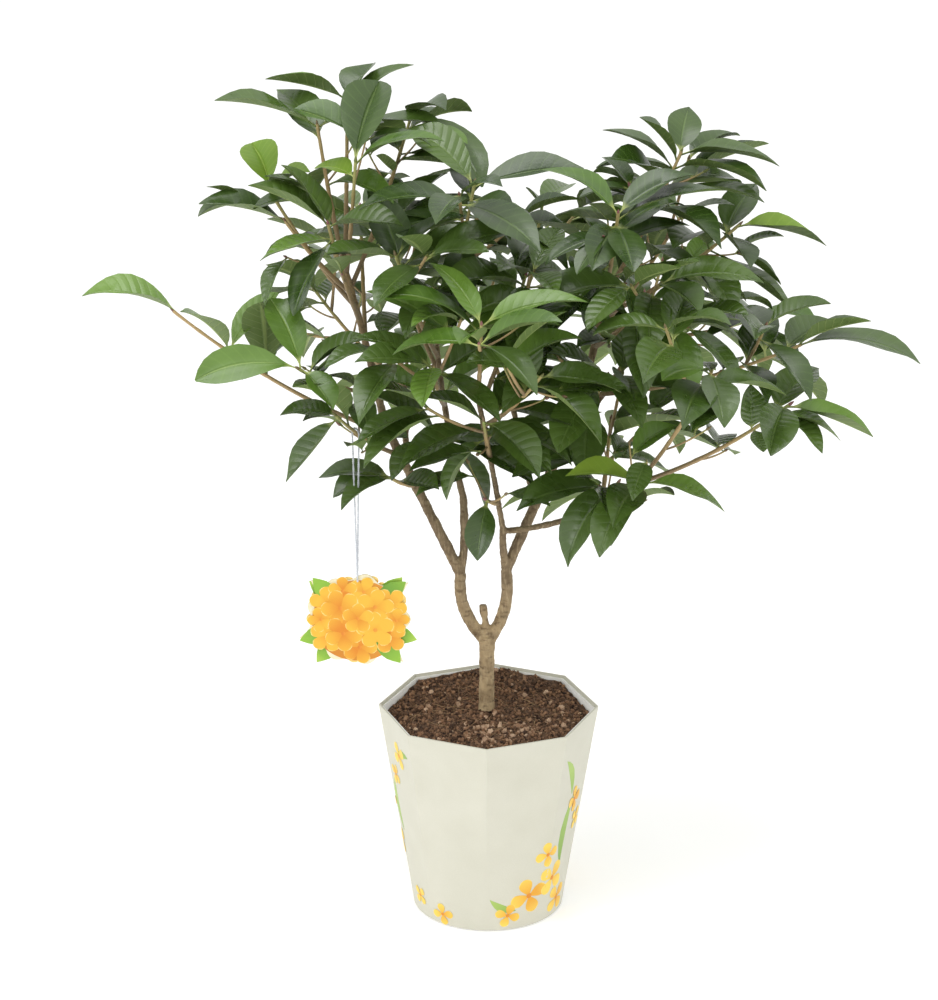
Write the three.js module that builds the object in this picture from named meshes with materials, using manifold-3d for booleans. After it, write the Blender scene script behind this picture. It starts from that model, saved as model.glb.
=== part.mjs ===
// Potted sweet osmanthus: a young shrub that forks low, in a card pot with a paper tag, in millimetres.
// The origin is the middle of the pot's underside. +X is to the right, +Y to the back and +Z up.
import * as THREE from "three";
import { mergeVertices } from "three/addons/utils/BufferGeometryUtils.js";
import Module from "manifold-3d";

const wasm = await Module();
wasm.setup();

// Clearances
const GAP = 0.3; // between two pieces that touch in the real thing
const LEAF_GAP = 0.7; // between leaves, and between a leaf and a twig that it doesn't grow on

// Pot: round at the foot, eight-sided at the rim, with one corner to the front
const POT_HEIGHT = 177.7;
const FOOT_RADIUS = 63.6;
const RIM_CORNER_RADIUS = 92;
const RIM_CORNERS = 8;
const RIM_TURN = -1.3; // degrees
const POT_SEGMENTS = 32;
const CARD = 1.6; // thickness of the outer card
const LINER_WALL = 1.8;
const LINER_FLOOR = 2.6;
const LINER_RIM_DROP = 2;

// Soil
const SOIL_EDGE_HEIGHT = 168.6;
const SOIL_SHOULDER_HEIGHT = 171.4;
const SOIL_CROWN_HEIGHT = 173;
const SOIL_SHOULDER_SHARE = 0.7; // of the radius
const SOIL_FLAT_SHARE = 0.17; // level under the trunk

// Trunk
const TRUNK_FOOT = [-1.7, 0, SOIL_CROWN_HEIGHT + GAP];
const TRUNK_FORK = [-1.4, 0, 240];
const TRUNK_RADIUS = 7.6;
const TRUNK_TOP_RADIUS = 7.2;
const TRUNK_FLARE = 3.4; // added to the radius at the foot
const TRUNK_FLARE_HEIGHT = 9;
const FORK_SWELLING = 1.6;
const STUB_TIP = [-4.6, -1, 267];
const STUB_RADIUS = 4.2;
const STUB_TIP_RADIUS = 2.7;

// Limbs: the parent, how far along it the limb leaves, its tip, how far its middle bows, and its radii. Where
// two leave close together, spur is the length over which they are still the parent's wood.
const LIMBS = {
  left_low_bough: { on: "trunk", at: 0.93, tip: [-23, -5, 296.5], bow: [-15, 0, -4], radii: [6.3, 5.6] },
  right_low_bough: { on: "trunk", at: 0.93, tip: [14.1, 0, 298.1], bow: [13, 0, -7], radii: [6.2, 5.6] },
  left_outer_bough: { on: "left_low_bough", at: 1, spur: 24, tip: [-84, -5, 425], bow: [0, 0, 0], radii: [5.3, 4.3] },
  left_upper_bough: {
    on: "left_outer_bough", at: 1, tip: [-116, 0, 559],
    bow: [2, 0, 2], radii: [4.2, 2.9],
  },
  left_inner_bough: {
    on: "left_low_bough", at: 0.96, spur: 20, tip: [-21.2, 6, 360],
    bow: [4, 0, -3], radii: [4.2, 3.8],
  },
  left_centre_bough: {
    on: "left_inner_bough", at: 1, tip: [-42, 0, 490],
    bow: [-5, 0, 3], radii: [3.3, 2.6],
  },
  right_main_bough: {
    on: "right_low_bough", at: 1, spur: 18, tip: [69.7, 10, 424.3],
    bow: [-2, 0, -2], radii: [5.4, 4.2],
  },
  right_upper_bough: {
    on: "right_main_bough", at: 1, tip: [92.5, 10, 530],
    bow: [3, 0, 0], radii: [4.1, 2.9],
  },
  right_back_bough: {
    on: "right_main_bough", at: 0.8, spur: 9, tip: [126, 66, 478],
    bow: [0, 4, -6], radii: [3.4, 2.7],
  },
  thin_bough: {
    on: "right_low_bough", at: 0.96, spur: 12, tip: [11.4, -10, 337],
    bow: [-2, -2, 0], radii: [3.9, 3.5],
  },
  centre_bough: { on: "thin_bough", at: 1, tip: [-9.2, -60, 463], bow: [1, 4, 2], radii: [3, 2.5] },
  side_bough: { on: "thin_bough", at: 0.97, tip: [120.4, -40, 388], bow: [6, 0, -17], radii: [3, 2.5] },
  left_back_bough: {
    on: "left_outer_bough", at: 0.72, tip: [-70, 78, 432],
    bow: [0, 6, -8], radii: [3.3, 2.6],
  },
  middle_back_bough: {
    on: "right_main_bough", at: 0.45, tip: [16, 92, 432],
    bow: [0, 8, -8], radii: [3.3, 2.6],
  },
};

// Foliage masses: the bough and how far along it the stem leaves, the tip of the leading shoot, the turn
// of its first pair of leaves in degrees, how many side shoots it has, and the tips of the leaves that
// make the crown's outline, pair by pair from the tip down. A FREE leaf follows the rule, a BARE one is
// left out.
const FREE = null;
const BARE = false;
const MASSES = {
  left_top_tall: {
    on: "left_upper_bough", at: 1, spur: 10, tip: [-134, -15, 673], turn: 185, shoots: 0, pairs: 2,
    leaves: [[-212, -25, 693], [-84, 20, 672], [-168, 34, 690], BARE],
  },
  left_top_front: {
    on: "left_upper_bough", at: 0.93, tip: [-103, -55, 652], turn: 80, shoots: 0, pairs: 2,
    leaves: [[-86, -8, 705], [-35, -62, 669], [-136, -24, 640], BARE],
  },
  left_top_peak: {
    on: "left_upper_bough", at: 0.96, spur: 14, tip: [-112, 26, 686], turn: 90, shoots: 0, pairs: 2,
    leaves: [[-92, 50, 708], [-175, 10, 703], [-50, 24, 698], BARE],
  },
  left_top_back: {
    on: "left_upper_bough", at: 0.84, tip: [-62, 44, 668], turn: 340, shoots: 0,
    leaves: [[-6, -16, 623], [-34, -4, 681], [-14, 66, 666], [-92, 6, 648], BARE],
  },
  left_young: {
    on: "left_upper_bough", at: 0.72, spur: 9, tip: [-175, 6, 618], turn: 200, shoots: 0, pairs: 1,
    leaves: [[-190, 44, 645], [-140, -16, 635]],
  },
  left_upper_side: {
    on: "left_upper_bough", at: 0.8, tip: [-160, -20, 597], turn: 180, shoots: 0, pairs: 1,
    leaves: [[-227, -22, 611], BARE],
  },
  left_middle: {
    on: "left_upper_bough", at: 0.64, tip: [-125, -50, 602], turn: 195, shoots: 1,
    leaves: [[-187, -36, 629], [-66, -76, 606], [-178, -56, 574], [-152, -70, 534]],
  },
  left_top_rear: { on: "left_upper_bough", at: 0.5, tip: [-106, 104, 578], turn: 150, shoots: 1 },
  left_whorl: {
    on: "left_upper_bough", at: 0.2, tip: [-148, -85, 496], turn: 200, shoots: 0, pairs: 2,
    leaves: [[-168, -44, 546], [-226, -104, 492], BARE, [-92, -66, 514]],
  },
  far_left: {
    on: "left_outer_bough", at: 0.94, tip: [-249, -30, 527], turn: 180, shoots: 0, spacing: 1.8,
    leaves: [[-320, -30, 539], BARE, BARE, BARE, [-250, -62, 541], [-172, -12, 542]],
  },
  left_low: {
    on: "left_outer_bough", at: 0.8, tip: [-121, -62, 451], turn: 210, shoots: 0, spacing: 1.3,
    leaves: [[-160, -66, 398], [-165, -56, 449], [-152, -94, 484], BARE, BARE, BARE],
  },
  left_low_inner: {
    on: "left_outer_bough", at: 0.6, tip: [-79, -35, 390], turn: 160, shoots: 0, pairs: 2,
    leaves: [[-140, -40, 393], [-126, -20, 368], BARE, [-40, -58, 388]],
  },
  left_rear: { on: "left_back_bough", at: 1, tip: [-146, 118, 505], turn: 140, shoots: 2, pairs: 2 },
  left_rear_low: { on: "left_back_bough", at: 0.7, tip: [-76, 150, 430], turn: 100, shoots: 1 },
  crown_top: {
    on: "left_centre_bough", at: 1, tip: [-12, -30, 629], turn: 10, shoots: 2,
    leaves: [[-63, -2, 666], [72, -30, 641]],
  },
  crown_left: {
    on: "left_centre_bough", at: 0.92, tip: [-73, -60, 580], turn: 100, shoots: 1,
    leaves: [[-124, -90, 588], [-18, -62, 611], [-98, -30, 625]],
  },
  crown_left_back: { on: "left_centre_bough", at: 0.8, tip: [-84, 30, 572], turn: 60, shoots: 2 },
  middle_left_front: {
    on: "left_centre_bough", at: 0.6, tip: [-44, -104, 504], turn: 170, shoots: 2,
    leaves: [[-103, -122, 512], [0, -124, 470]],
  },
  inner_low: {
    on: "left_centre_bough", at: 0.36, tip: [-42, -25, 419], turn: 180, shoots: 0, pairs: 2,
    leaves: [[-96, -28, 457], [2, -56, 404]],
  },
  front: {
    on: "centre_bough", at: 1, tip: [-7, -130, 544], turn: 20, shoots: 1,
    leaves: [[73, -122, 559], [-46, -96, 583], [-72, -152, 575]],
  },
  front_top: { on: "centre_bough", at: 0.93, tip: [28, -30, 556], turn: 60, shoots: 1 },
  front_right: {
    on: "centre_bough", at: 0.8, tip: [39, -115, 499], turn: 330, shoots: 1,
    leaves: [[0, -160, 494], [100, -112, 485], [12, -80, 536]],
  },
  front_low: {
    on: "centre_bough", at: 0.55, spur: 9, tip: [-5, -72, 450], turn: 330, shoots: 1, pairs: 2,
    leaves: [[38, -112, 416], FREE],
  },
  front_hanging: {
    on: "centre_bough", at: 0.2, tip: [-3, -36, 372], turn: 260, shoots: 0, pairs: 1,
    leaves: [[-2, -66, 322], BARE],
  },
  middle_rear: { on: "middle_back_bough", at: 1, tip: [44, 104, 580], turn: 80, shoots: 2 },
  middle_rear_out: { on: "middle_back_bough", at: 0.8, spur: 12, tip: [-16, 172, 492], turn: 100, shoots: 2 },
  right_top: {
    on: "right_upper_bough", at: 1, tip: [150, 0, 648], turn: 15, shoots: 0,
    leaves: [[158, 40, 675], [227, 0, 636], [88, 4, 664], [214, -34, 624], [90, -30, 640], [204, 40, 610]],
  },
  right_top_front: {
    on: "right_upper_bough", at: 0.93, tip: [97, -80, 618], turn: 250, shoots: 0,
    leaves: [[156, -64, 644], [38, -66, 648], [107, -124, 583], [76, -120, 583]],
  },
  right_top_side: {
    on: "right_upper_bough", at: 0.82, tip: [200, 30, 582], turn: 350, shoots: 0,
    leaves: [[270, 28, 565], BARE, [228, 70, 600], [204, -30, 562]],
  },
  right_top_rear: { on: "right_upper_bough", at: 0.72, tip: [156, 74, 578], turn: 20, shoots: 1 },
  right_middle: {
    on: "right_upper_bough", at: 0.58, tip: [131, -70, 560], turn: 340, shoots: 2,
    leaves: [[211, -66, 559], [158, -124, 551]],
  },
  far_right: {
    on: "right_upper_bough", at: 0.2, tip: [249, -5, 492], turn: 0, shoots: 1,
    leaves: [[345, -5, 476], FREE, BARE, [278, 40, 500]],
  },
  right_rear: {
    on: "right_back_bough", at: 1, tip: [222, 90, 488], turn: 20, shoots: 0,
    leaves: [[272, 84, 486], [170, 112, 482]],
  },
  right_rear_out: { on: "right_back_bough", at: 0.8, tip: [136, 160, 474], turn: 60, shoots: 2 },
  right_low: {
    on: "side_bough", at: 1, tip: [236, -50, 456], turn: 355, shoots: 0,
    leaves: [[304, -46, 428], [216, -112, 434], [270, -74, 426], [266, 10, 468], BARE, BARE],
  },
  right_front: {
    on: "side_bough", at: 0.93, spur: 9, tip: [168, -120, 504], turn: 320, shoots: 1, pairs: 2,
    leaves: [[174, -172, 476], [114, -142, 500], [228, -100, 479]],
  },
  right_low_front: {
    on: "side_bough", at: 0.82, tip: [120, -90, 405], turn: 300, shoots: 0, pairs: 2,
    leaves: [[58, -116, 419], [184, -88, 380], [94, -140, 385]],
  },
  right_low_inner: {
    on: "side_bough", at: 0.6, tip: [102, -60, 395], turn: 270, shoots: 0, pairs: 2,
    leaves: [[62, -84, 332], BARE, [21, -84, 379], [43, -22, 349]],
  },
  right_centre: { on: "right_main_bough", at: 0.93, tip: [92, -50, 480], turn: 310, shoots: 1, pairs: 2 },
  right_low_back: { on: "side_bough", at: 0.7, tip: [98, -6, 430], turn: 30, shoots: 2 },
};

// Tubes
const TRUNK_SIDES = 16;
const LIMB_SIDES = 8;
const SPUR_SIDES = 5;
const TWIG_SIDES = 3;
const TUBE_STEP = 26; // mm between a limb's sections
const TWIG_STEP = 34;
const SPUR_LENGTH = 7; // of a bough's own wood past its skin, where a limb or a stem goes on
const SPUR_SWELLING = 1.12;

// Twigs
const STEM_RADII = [2.7, 1.5];
const SHOOT_RADII = [1.8, 1.4];
const STEM_SAG = 0.1; // of a stem's length that its middle hangs below a straight line
const SHOOT_START = 0.78; // how far along the stem its first side shoot leaves
const SHOOT_STEP = 0.18; // back to the next
const SHOOT_LENGTH = 58;
const SHOOT_LIFT = 0.18; // of its length that a side shoot's tip turns up
const SHOOT_SPREAD = 50; // degrees off the stem
const GOLDEN_TURN = 137.5; // degrees from one side shoot to the next
const SHOOT_START_SWAY = 0.06;
const SHOOT_LENGTH_SWAY = 0.2;
const SHOOT_SPREAD_SWAY = 8; // degrees
const SHOOT_TURN_SWAY = 20;

// Leaves: pairs at each shoot's end, each pair a quarter turn from the last
const LEAF_LENGTH = 83;
const LEAF_WIDTH_SHARE = 0.44;
const LEAF_THICKNESS_SHARE = 0.014;
const LEAF_DROOP = 60; // degrees that a leaf bends down from root to tip
const LEAF_STATIONS = [
  { at: 0.32, width: 0.98 },
  { at: 0.67, width: 0.86 },
];
const LEAF_TILT = 14; // degrees of roll, by chance
const LEAF_OUTWARD_ROLL = 30; // degrees of roll that turn a leaf's upper face outward
const LEAF_LENGTH_SWAY = 0.12;
const LEAF_DROOP_SWAY = 0.3;
const LEAF_TURN_SWAY = 13; // degrees
const LEAF_SPREAD_SWAY = 9;
const BLADE_START = 0.17; // where the blade clears the twig that it grows on
const PAIRS = [
  { back: 3, spread: 38, size: 0.76 },
  { back: 14, spread: 58, size: 0.96 },
  { back: 29, spread: 74, size: 1 },
];
const SHOOT_PAIRS = 2;
const STEM_PAIRS = 3;
const LOWEST_RISE = -12; // degrees
const HIGHEST_RISE = 52;
// A leaf that has no room is tried again, turned and lifted by these degrees
const TRIES = [
  { turn: 0, lift: 0 },
  { turn: 24, lift: 10 },
  { turn: -24, lift: -10 },
  { turn: 46, lift: 18 },
  { turn: -46, lift: -18 },
];

// What a random number is for
const OF_LENGTH = 1;
const OF_SPREAD = 2;
const OF_TURN = 3;
const OF_DROOP = 4;
const OF_ROLL = 5;
const OF_START = 6;

// Tag: a die-cut card bunch of blossom with four leaves, on a loop of string over the left low mass's stem
const TAG_ON = "left_low";
const TAG_AT = 0.7; // along the stem
const TAG_BODY_RADII = [40, 37];
const TAG_LOBES = 9;
const TAG_LOBE_DEPTH = 0.07;
const TAG_LEAF_REACH = 52;
const TAG_LEAF_HALF_ANGLE = 17; // degrees
const TAG_LEAF_ANGLES = [40, 135, 201, 312];
const TAG_THICKNESS = 1.2;
const TAG_POINTS = 90;
const TAG_HOLE_RADIUS = 2.3;
const TAG_HOLE_HEIGHT = 32; // above the tag's centre
const STRING_RADIUS = 0.6;
const STRING_LENGTH = 128; // from the twig to the hole
const STRING_TOP_SPREAD = 3.6; // half the width of the loop over the twig
const STRING_CLEARANCE = 0.5; // from the twig and from the hole's edge
const STRING_SIDES = 5;
const STRING_ARC_STEPS = 6;
const STRING_STRAND_STEPS = 4;

const UP = new THREE.Vector3(0, 0, 1);

const vec = (xyz) => new THREE.Vector3(...xyz);
const radians = THREE.MathUtils.degToRad;
const lerp = THREE.MathUtils.lerp;
const clamp = THREE.MathUtils.clamp;

// A number from 0 to 1 that depends only on its keys.
function chance(...keys) {
  let hash = 0x9e3779b9;
  for (const key of keys) {
    hash = Math.imul(hash ^ key, 0x85ebca6b);
    hash = Math.imul(hash ^ (hash >>> 13), 0xc2b2ae35);
    hash ^= hash >>> 16;
  }
  return (hash >>> 0) / 4294967296;
}

// A number from -1 to 1 that depends only on its keys.
const sway = (...keys) => 2 * chance(...keys) - 1;

// A geometry as a solid, with its faces turned outwards.
function solidOf(geometry) {
  const bare = new THREE.BufferGeometry();
  bare.setAttribute("position", geometry.getAttribute("position"));
  bare.setIndex(geometry.getIndex());
  const merged = mergeVertices(bare, 1e-4);
  const corners = Array.from(merged.getIndex().array);
  const triVerts = [];
  for (let i = 0; i < corners.length; i += 3) {
    const [a, b, c] = corners.slice(i, i + 3);
    if (a !== b && b !== c && c !== a) triVerts.push(a, b, c);
  }
  const vertProperties = merged.getAttribute("position").array;
  const make = (order) =>
    new wasm.Manifold(new wasm.Mesh({ numProp: 3, vertProperties, triVerts: new Uint32Array(order) }));
  const solid = make(triVerts);
  return solid.volume() > 0 ? solid : make(triVerts.reverse());
}

// A solid as a named mesh.
function meshOf(name, solid, material) {
  const { vertProperties, triVerts } = solid.getMesh();
  const geometry = new THREE.BufferGeometry();
  geometry.setAttribute("position", new THREE.BufferAttribute(vertProperties, 3));
  geometry.setIndex(new THREE.BufferAttribute(triVerts, 1));
  const mesh = new THREE.Mesh(geometry, material);
  mesh.name = name;
  return mesh;
}

const join = (solids) => wasm.Manifold.union(solids);

// The distance from the pot's axis to its skin, straight from the round foot to the eight-sided rim.
function potRadius(angle, height) {
  const side = (2 * Math.PI) / RIM_CORNERS;
  const fromCorner = angle + Math.PI / 2 - radians(RIM_TURN);
  const fromMiddle = (((fromCorner % side) + side) % side) - side / 2;
  const rim = (RIM_CORNER_RADIUS * Math.cos(side / 2)) / Math.cos(fromMiddle);
  return lerp(FOOT_RADIUS, rim, height / POT_HEIGHT);
}

// A filled solid of the pot's own section, a distance inside its skin. Each level from the bottom up is a
// height and a share of the way out from the axis.
function potFilled(inset, levels) {
  const [bottom, top] = [levels[0][0], levels.at(-1)[0]];
  const profile = [[bottom, 0], ...levels, [top, 0]];
  const outline = profile.map(([height, share]) => new THREE.Vector2(share, height));
  const geometry = new THREE.LatheGeometry(outline, POT_SEGMENTS);
  const position = geometry.getAttribute("position");
  for (let i = 0; i < position.count; i++) {
    const [height, share] = profile[i % profile.length];
    const segment = Math.floor(i / profile.length) % POT_SEGMENTS;
    const angle = radians(RIM_TURN) + (segment / POT_SEGMENTS) * 2 * Math.PI;
    const radius = share * (potRadius(angle, height) - inset);
    position.setXYZ(i, radius * Math.cos(angle), radius * Math.sin(angle), height);
  }
  return solidOf(geometry);
}

function potSleeve() {
  const outside = potFilled(0, [[0, 1], [POT_HEIGHT, 1]]);
  const inside = potFilled(CARD, [[-CARD, 1], [POT_HEIGHT + CARD, 1]]);
  return outside.subtract(inside);
}

function potLiner() {
  const skin = CARD + GAP;
  const outside = potFilled(skin, [[0, 1], [POT_HEIGHT - LINER_RIM_DROP, 1]]);
  const inside = potFilled(skin + LINER_WALL, [[LINER_FLOOR, 1], [POT_HEIGHT, 1]]);
  return outside.subtract(inside);
}

function soil() {
  return potFilled(CARD + GAP + LINER_WALL + GAP, [
    [LINER_FLOOR + GAP, 1],
    [SOIL_EDGE_HEIGHT, 1],
    [SOIL_SHOULDER_HEIGHT, SOIL_SHOULDER_SHARE],
    [SOIL_CROWN_HEIGHT, SOIL_FLAT_SHARE],
  ]);
}

// A limb's middle line: it bows from its start to its tip.
function limbLine(start, tip, bow) {
  const middle = start.clone().add(tip).multiplyScalar(0.5).add(bow);
  return new THREE.QuadraticBezierCurve3(start, middle, tip);
}

// A tapering tube along part of a line: a closed cylinder whose sections are carried along it.
function tube(line, from, to, radiusAt, sides, stepLength) {
  const steps = stepsAlong(line, from, to, stepLength);
  const geometry = new THREE.CylinderGeometry(1, 1, 1, sides, steps);
  const position = geometry.getAttribute("position");
  for (let i = 0; i < position.count; i++) {
    const share = lerp(from, to, position.getY(i) + 0.5);
    const along = line.getTangent(share);
    const [across, beside] = axesAround(along);
    const radius = radiusAt(share);
    const point = line.getPoint(share);
    point.addScaledVector(across, radius * position.getX(i));
    point.addScaledVector(beside, -radius * position.getZ(i));
    position.setXYZ(i, point.x, point.y, point.z);
  }
  return solidOf(geometry);
}

function stepsAlong(line, from, to, stepLength) {
  const chord = line.getPoint(from).distanceTo(line.getPoint(to));
  return Math.max(1, Math.round(chord / stepLength));
}

// Two directions square to a direction that doesn't point straight down, with no twist against the frame.
function axesAround({ x, y, z }) {
  const k = 1 / (1 + z);
  return [new THREE.Vector3(1 - k * x * x, -k * x * y, -x), new THREE.Vector3(-k * x * y, 1 - k * y * y, -y)];
}

// The trunk's radius at a height above its foot.
function trunkRadius(share) {
  const height = share * (TRUNK_FORK[2] - TRUNK_FOOT[2]);
  const flare = TRUNK_FLARE * Math.exp(-height / TRUNK_FLARE_HEIGHT);
  const swelling = FORK_SWELLING * Math.pow(share, 6);
  return lerp(TRUNK_RADIUS, TRUNK_TOP_RADIUS, share) + flare + swelling;
}

// A limb with the wood of its parent that it grows out of: its line, where the parent's spur on it ends,
// and its radius at a share of it.
function limbOf(parent, { at, tip, bow, radii, spur = SPUR_LENGTH }) {
  const start = parent.line.getPoint(at);
  const line = limbLine(start, vec(tip), vec(bow));
  const length = line.getLength();
  const spurEnd = (at < 1 ? parent.radiusAt(at) + spur : spur) / length;
  const radiusAt = (share) => lerp(radii[0], radii[1], share);
  return { line, spurEnd, begin: spurEnd + GAP / length, radiusAt, length };
}

const spurOn = (limb, sides) =>
  tube(limb.line, 0, limb.spurEnd, (share) => limb.radiusAt(share) * SPUR_SWELLING, sides, TUBE_STEP);

function skeleton() {
  const trunkLine = limbLine(vec(TRUNK_FOOT), vec(TRUNK_FORK), vec([0, 0, 0]));
  const limbs = { trunk: { line: trunkLine, radiusAt: trunkRadius, wood: [] } };
  limbs.trunk.wood.push(tube(trunkLine, 0, 1, trunkRadius, TRUNK_SIDES, TUBE_STEP / 3));
  const stubLine = limbLine(trunkLine.getPoint(0.9), vec(STUB_TIP), vec([1, 0, 0]));
  const stubRadius = (share) => lerp(STUB_RADIUS, STUB_TIP_RADIUS, share);
  limbs.trunk.wood.push(tube(stubLine, 0, 1, stubRadius, LIMB_SIDES, TUBE_STEP));
  for (const [name, row] of Object.entries(LIMBS)) {
    const limb = limbOf(limbs[row.on], row);
    limb.wood = [tube(limb.line, limb.begin, 1, limb.radiusAt, LIMB_SIDES, TUBE_STEP)];
    limbs[row.on].wood.push(spurOn(limb, LIMB_SIDES));
    limbs[name] = limb;
  }
  return limbs;
}

// The twigs of a mass: its stem, and the side shoots that leave it by a seeded rule.
function twigsOf(mass, seed, parent) {
  const start = parent.line.getPoint(mass.at);
  const bow = [0, 0, -STEM_SAG * start.distanceTo(vec(mass.tip))];
  const stem = limbOf(parent, { at: mass.at, tip: mass.tip, bow, radii: STEM_RADII, spur: mass.spur });
  const leader = {
    ...stem,
    from: stem.begin,
    seed: [seed, 0],
    turn: mass.turn,
    pairs: mass.pairs ?? STEM_PAIRS,
    spacing: mass.spacing ?? 1,
    leaves: mass.leaves ?? [],
  };
  const twigs = [leader];
  for (let i = 1; i <= mass.shoots; i++) {
    twigs.push(sideShoot(stem, mass, [seed, i], i));
  }
  return { stem, twigs };
}

function sideShoot(stem, mass, seed, order) {
  const at = SHOOT_START - SHOOT_STEP * (order - 1) + SHOOT_START_SWAY * sway(...seed, OF_START);
  const along = stem.line.getTangent(at);
  const [across, beside] = axesAround(along);
  const turn = radians(mass.turn + 90 + order * GOLDEN_TURN + SHOOT_TURN_SWAY * sway(...seed, OF_TURN));
  const spread = radians(SHOOT_SPREAD + SHOOT_SPREAD_SWAY * sway(...seed, OF_SPREAD));
  const length = SHOOT_LENGTH * (1 + SHOOT_LENGTH_SWAY * sway(...seed, OF_LENGTH));
  const heading = along.multiplyScalar(Math.cos(spread));
  heading.addScaledVector(across, Math.cos(turn) * Math.sin(spread));
  heading.addScaledVector(beside, Math.sin(turn) * Math.sin(spread));
  const start = stem.line.getPoint(at);
  const tip = start.clone().addScaledVector(heading, length).addScaledVector(UP, SHOOT_LIFT * length);
  const line = limbLine(start, tip, vec([0, 0, -STEM_SAG * length]));
  const radiusAt = (share) => lerp(SHOOT_RADII[0], SHOOT_RADII[1], share);
  const turnOfLeaves = THREE.MathUtils.radToDeg(turn);
  const twig = { line, radiusAt, length, from: 0, seed, turn: turnOfLeaves };
  return { ...twig, pairs: SHOOT_PAIRS, spacing: 1, leaves: [] };
}

// The middle of a twig's tube, whose sections run straight from station to station.
function pointOnTube({ line, from }, share) {
  const steps = stepsAlong(line, from, 1, TWIG_STEP);
  const whole = ((share - from) / (1 - from)) * steps;
  const before = Math.min(Math.floor(whole), steps - 1);
  const [start, end] = [before, before + 1].map((i) => line.getPoint(lerp(from, 1, i / steps)));
  return start.lerp(end, whole - before);
}

// A leaf: its root on the twig, its heading on the ground plan, its rise, droop, roll and size.
function leafOf(twig, pair, side, attempt) {
  const { spread, size } = PAIRS[pair];
  const key = [...twig.seed, 2 * pair + side];
  const at = 1 - (PAIRS[pair].back * twig.spacing) / twig.length;
  const root = pointOnTube(twig, at);
  const droop = radians(LEAF_DROOP * (1 + LEAF_DROOP_SWAY * sway(...key, OF_DROOP)));
  const tilt = radians(LEAF_TILT * sway(...key, OF_ROLL));
  const aim = twig.leaves[2 * pair + side];
  if (aim) return aimedLeaf(root, vec(aim), droop, tilt, attempt);
  const along = twig.line.getTangent(at);
  const [across, beside] = axesAround(along);
  const turnSway = LEAF_TURN_SWAY * sway(...key, OF_TURN);
  const turn = radians(twig.turn + 90 * pair + 180 * side + turnSway + attempt.turn);
  const open = radians(spread + LEAF_SPREAD_SWAY * sway(...key, OF_SPREAD));
  const heading = along.multiplyScalar(Math.cos(open));
  heading.addScaledVector(across, Math.cos(turn) * Math.sin(open));
  heading.addScaledVector(beside, Math.sin(turn) * Math.sin(open));
  const rise = THREE.MathUtils.radToDeg(Math.asin(clamp(heading.z, -1, 1))) + attempt.lift;
  const length = LEAF_LENGTH * size * (1 + LEAF_LENGTH_SWAY * sway(...key, OF_LENGTH));
  return {
    root,
    heading: Math.atan2(heading.y, heading.x),
    rise: radians(clamp(rise, LOWEST_RISE, HIGHEST_RISE)),
    droop,
    roll: tilt + outwardRoll(root, heading),
    length,
    width: LEAF_WIDTH_SHARE * length,
  };
}

// The roll that turns a leaf's upper face away from the crown's axis: most for a leaf that runs round it.
function outwardRoll(root, heading) {
  const across = heading.y * root.x - heading.x * root.y;
  const lengths = Math.hypot(heading.x, heading.y) * Math.hypot(root.x, root.y);
  return (radians(LEAF_OUTWARD_ROLL) * across) / lengths;
}

// A leaf whose tip is given: it arches over the straight line from its root to that tip.
function aimedLeaf(root, tip, droop, tilt, attempt) {
  const reach = tip.clone().sub(root);
  const span = reach.length();
  const length = (span * droop) / 2 / Math.sin(droop / 2);
  return {
    root,
    heading: Math.atan2(reach.y, reach.x) + radians(attempt.turn / 2),
    rise: Math.asin(reach.z / span) + droop / 2 + radians(attempt.lift / 2),
    droop,
    roll: tilt + outwardRoll(root, reach),
    length,
    width: (LEAF_WIDTH_SHARE * (length + LEAF_LENGTH)) / 2,
  };
}

// A point on a leaf: a share of the way along its arching midrib, then out to the side and up.
function leafPoint(leaf, share, aside, above) {
  const rise = leaf.rise - leaf.droop * share;
  const reach = (leaf.length / leaf.droop) * (Math.sin(leaf.rise) - Math.sin(rise));
  const height = (leaf.length / leaf.droop) * (Math.cos(rise) - Math.cos(leaf.rise));
  const [cos, sin] = [Math.cos(leaf.heading), Math.sin(leaf.heading)];
  const sideways = new THREE.Vector3(-sin, cos, 0);
  const normal = new THREE.Vector3(-Math.sin(rise) * cos, -Math.sin(rise) * sin, Math.cos(rise));
  const out = aside * Math.cos(leaf.roll) - above * Math.sin(leaf.roll);
  const up = aside * Math.sin(leaf.roll) + above * Math.cos(leaf.roll);
  return leaf.root
    .clone()
    .add(new THREE.Vector3(reach * cos, reach * sin, height))
    .addScaledVector(sideways, out)
    .addScaledVector(normal, up);
}

// The nine corners of a leaf's solid: an upright edge at the root, then both margins and the keel under
// the midrib at each station, and the tip.
const LEAF_FACES = [
  [0, 2, 3],
  [0, 1, 2],
  [0, 3, 1],
  [1, 4, 2],
  [1, 3, 4],
  [2, 5, 6],
  [2, 6, 3],
  [2, 4, 7],
  [2, 7, 5],
  [4, 3, 6],
  [4, 6, 7],
  [5, 8, 6],
  [5, 7, 8],
  [7, 6, 8],
];

function leafSolid(leaf, start) {
  const half = (LEAF_THICKNESS_SHARE * leaf.length) / 2;
  const corners = [leafPoint(leaf, start, 0, half), leafPoint(leaf, start, 0, -half)];
  for (const { at, width } of LEAF_STATIONS) {
    const out = 0.5 * leaf.width * width;
    corners.push(leafPoint(leaf, at, out, half));
    corners.push(leafPoint(leaf, at, -out, half));
    corners.push(leafPoint(leaf, at, 0, -half));
  }
  corners.push(leafPoint(leaf, 1, 0, 0));
  const geometry = new THREE.BufferGeometry();
  geometry.setAttribute("position", new THREE.Float32BufferAttribute(corners.flatMap((c) => c.toArray()), 3));
  geometry.setIndex(LEAF_FACES.flat());
  return solidOf(geometry);
}

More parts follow.
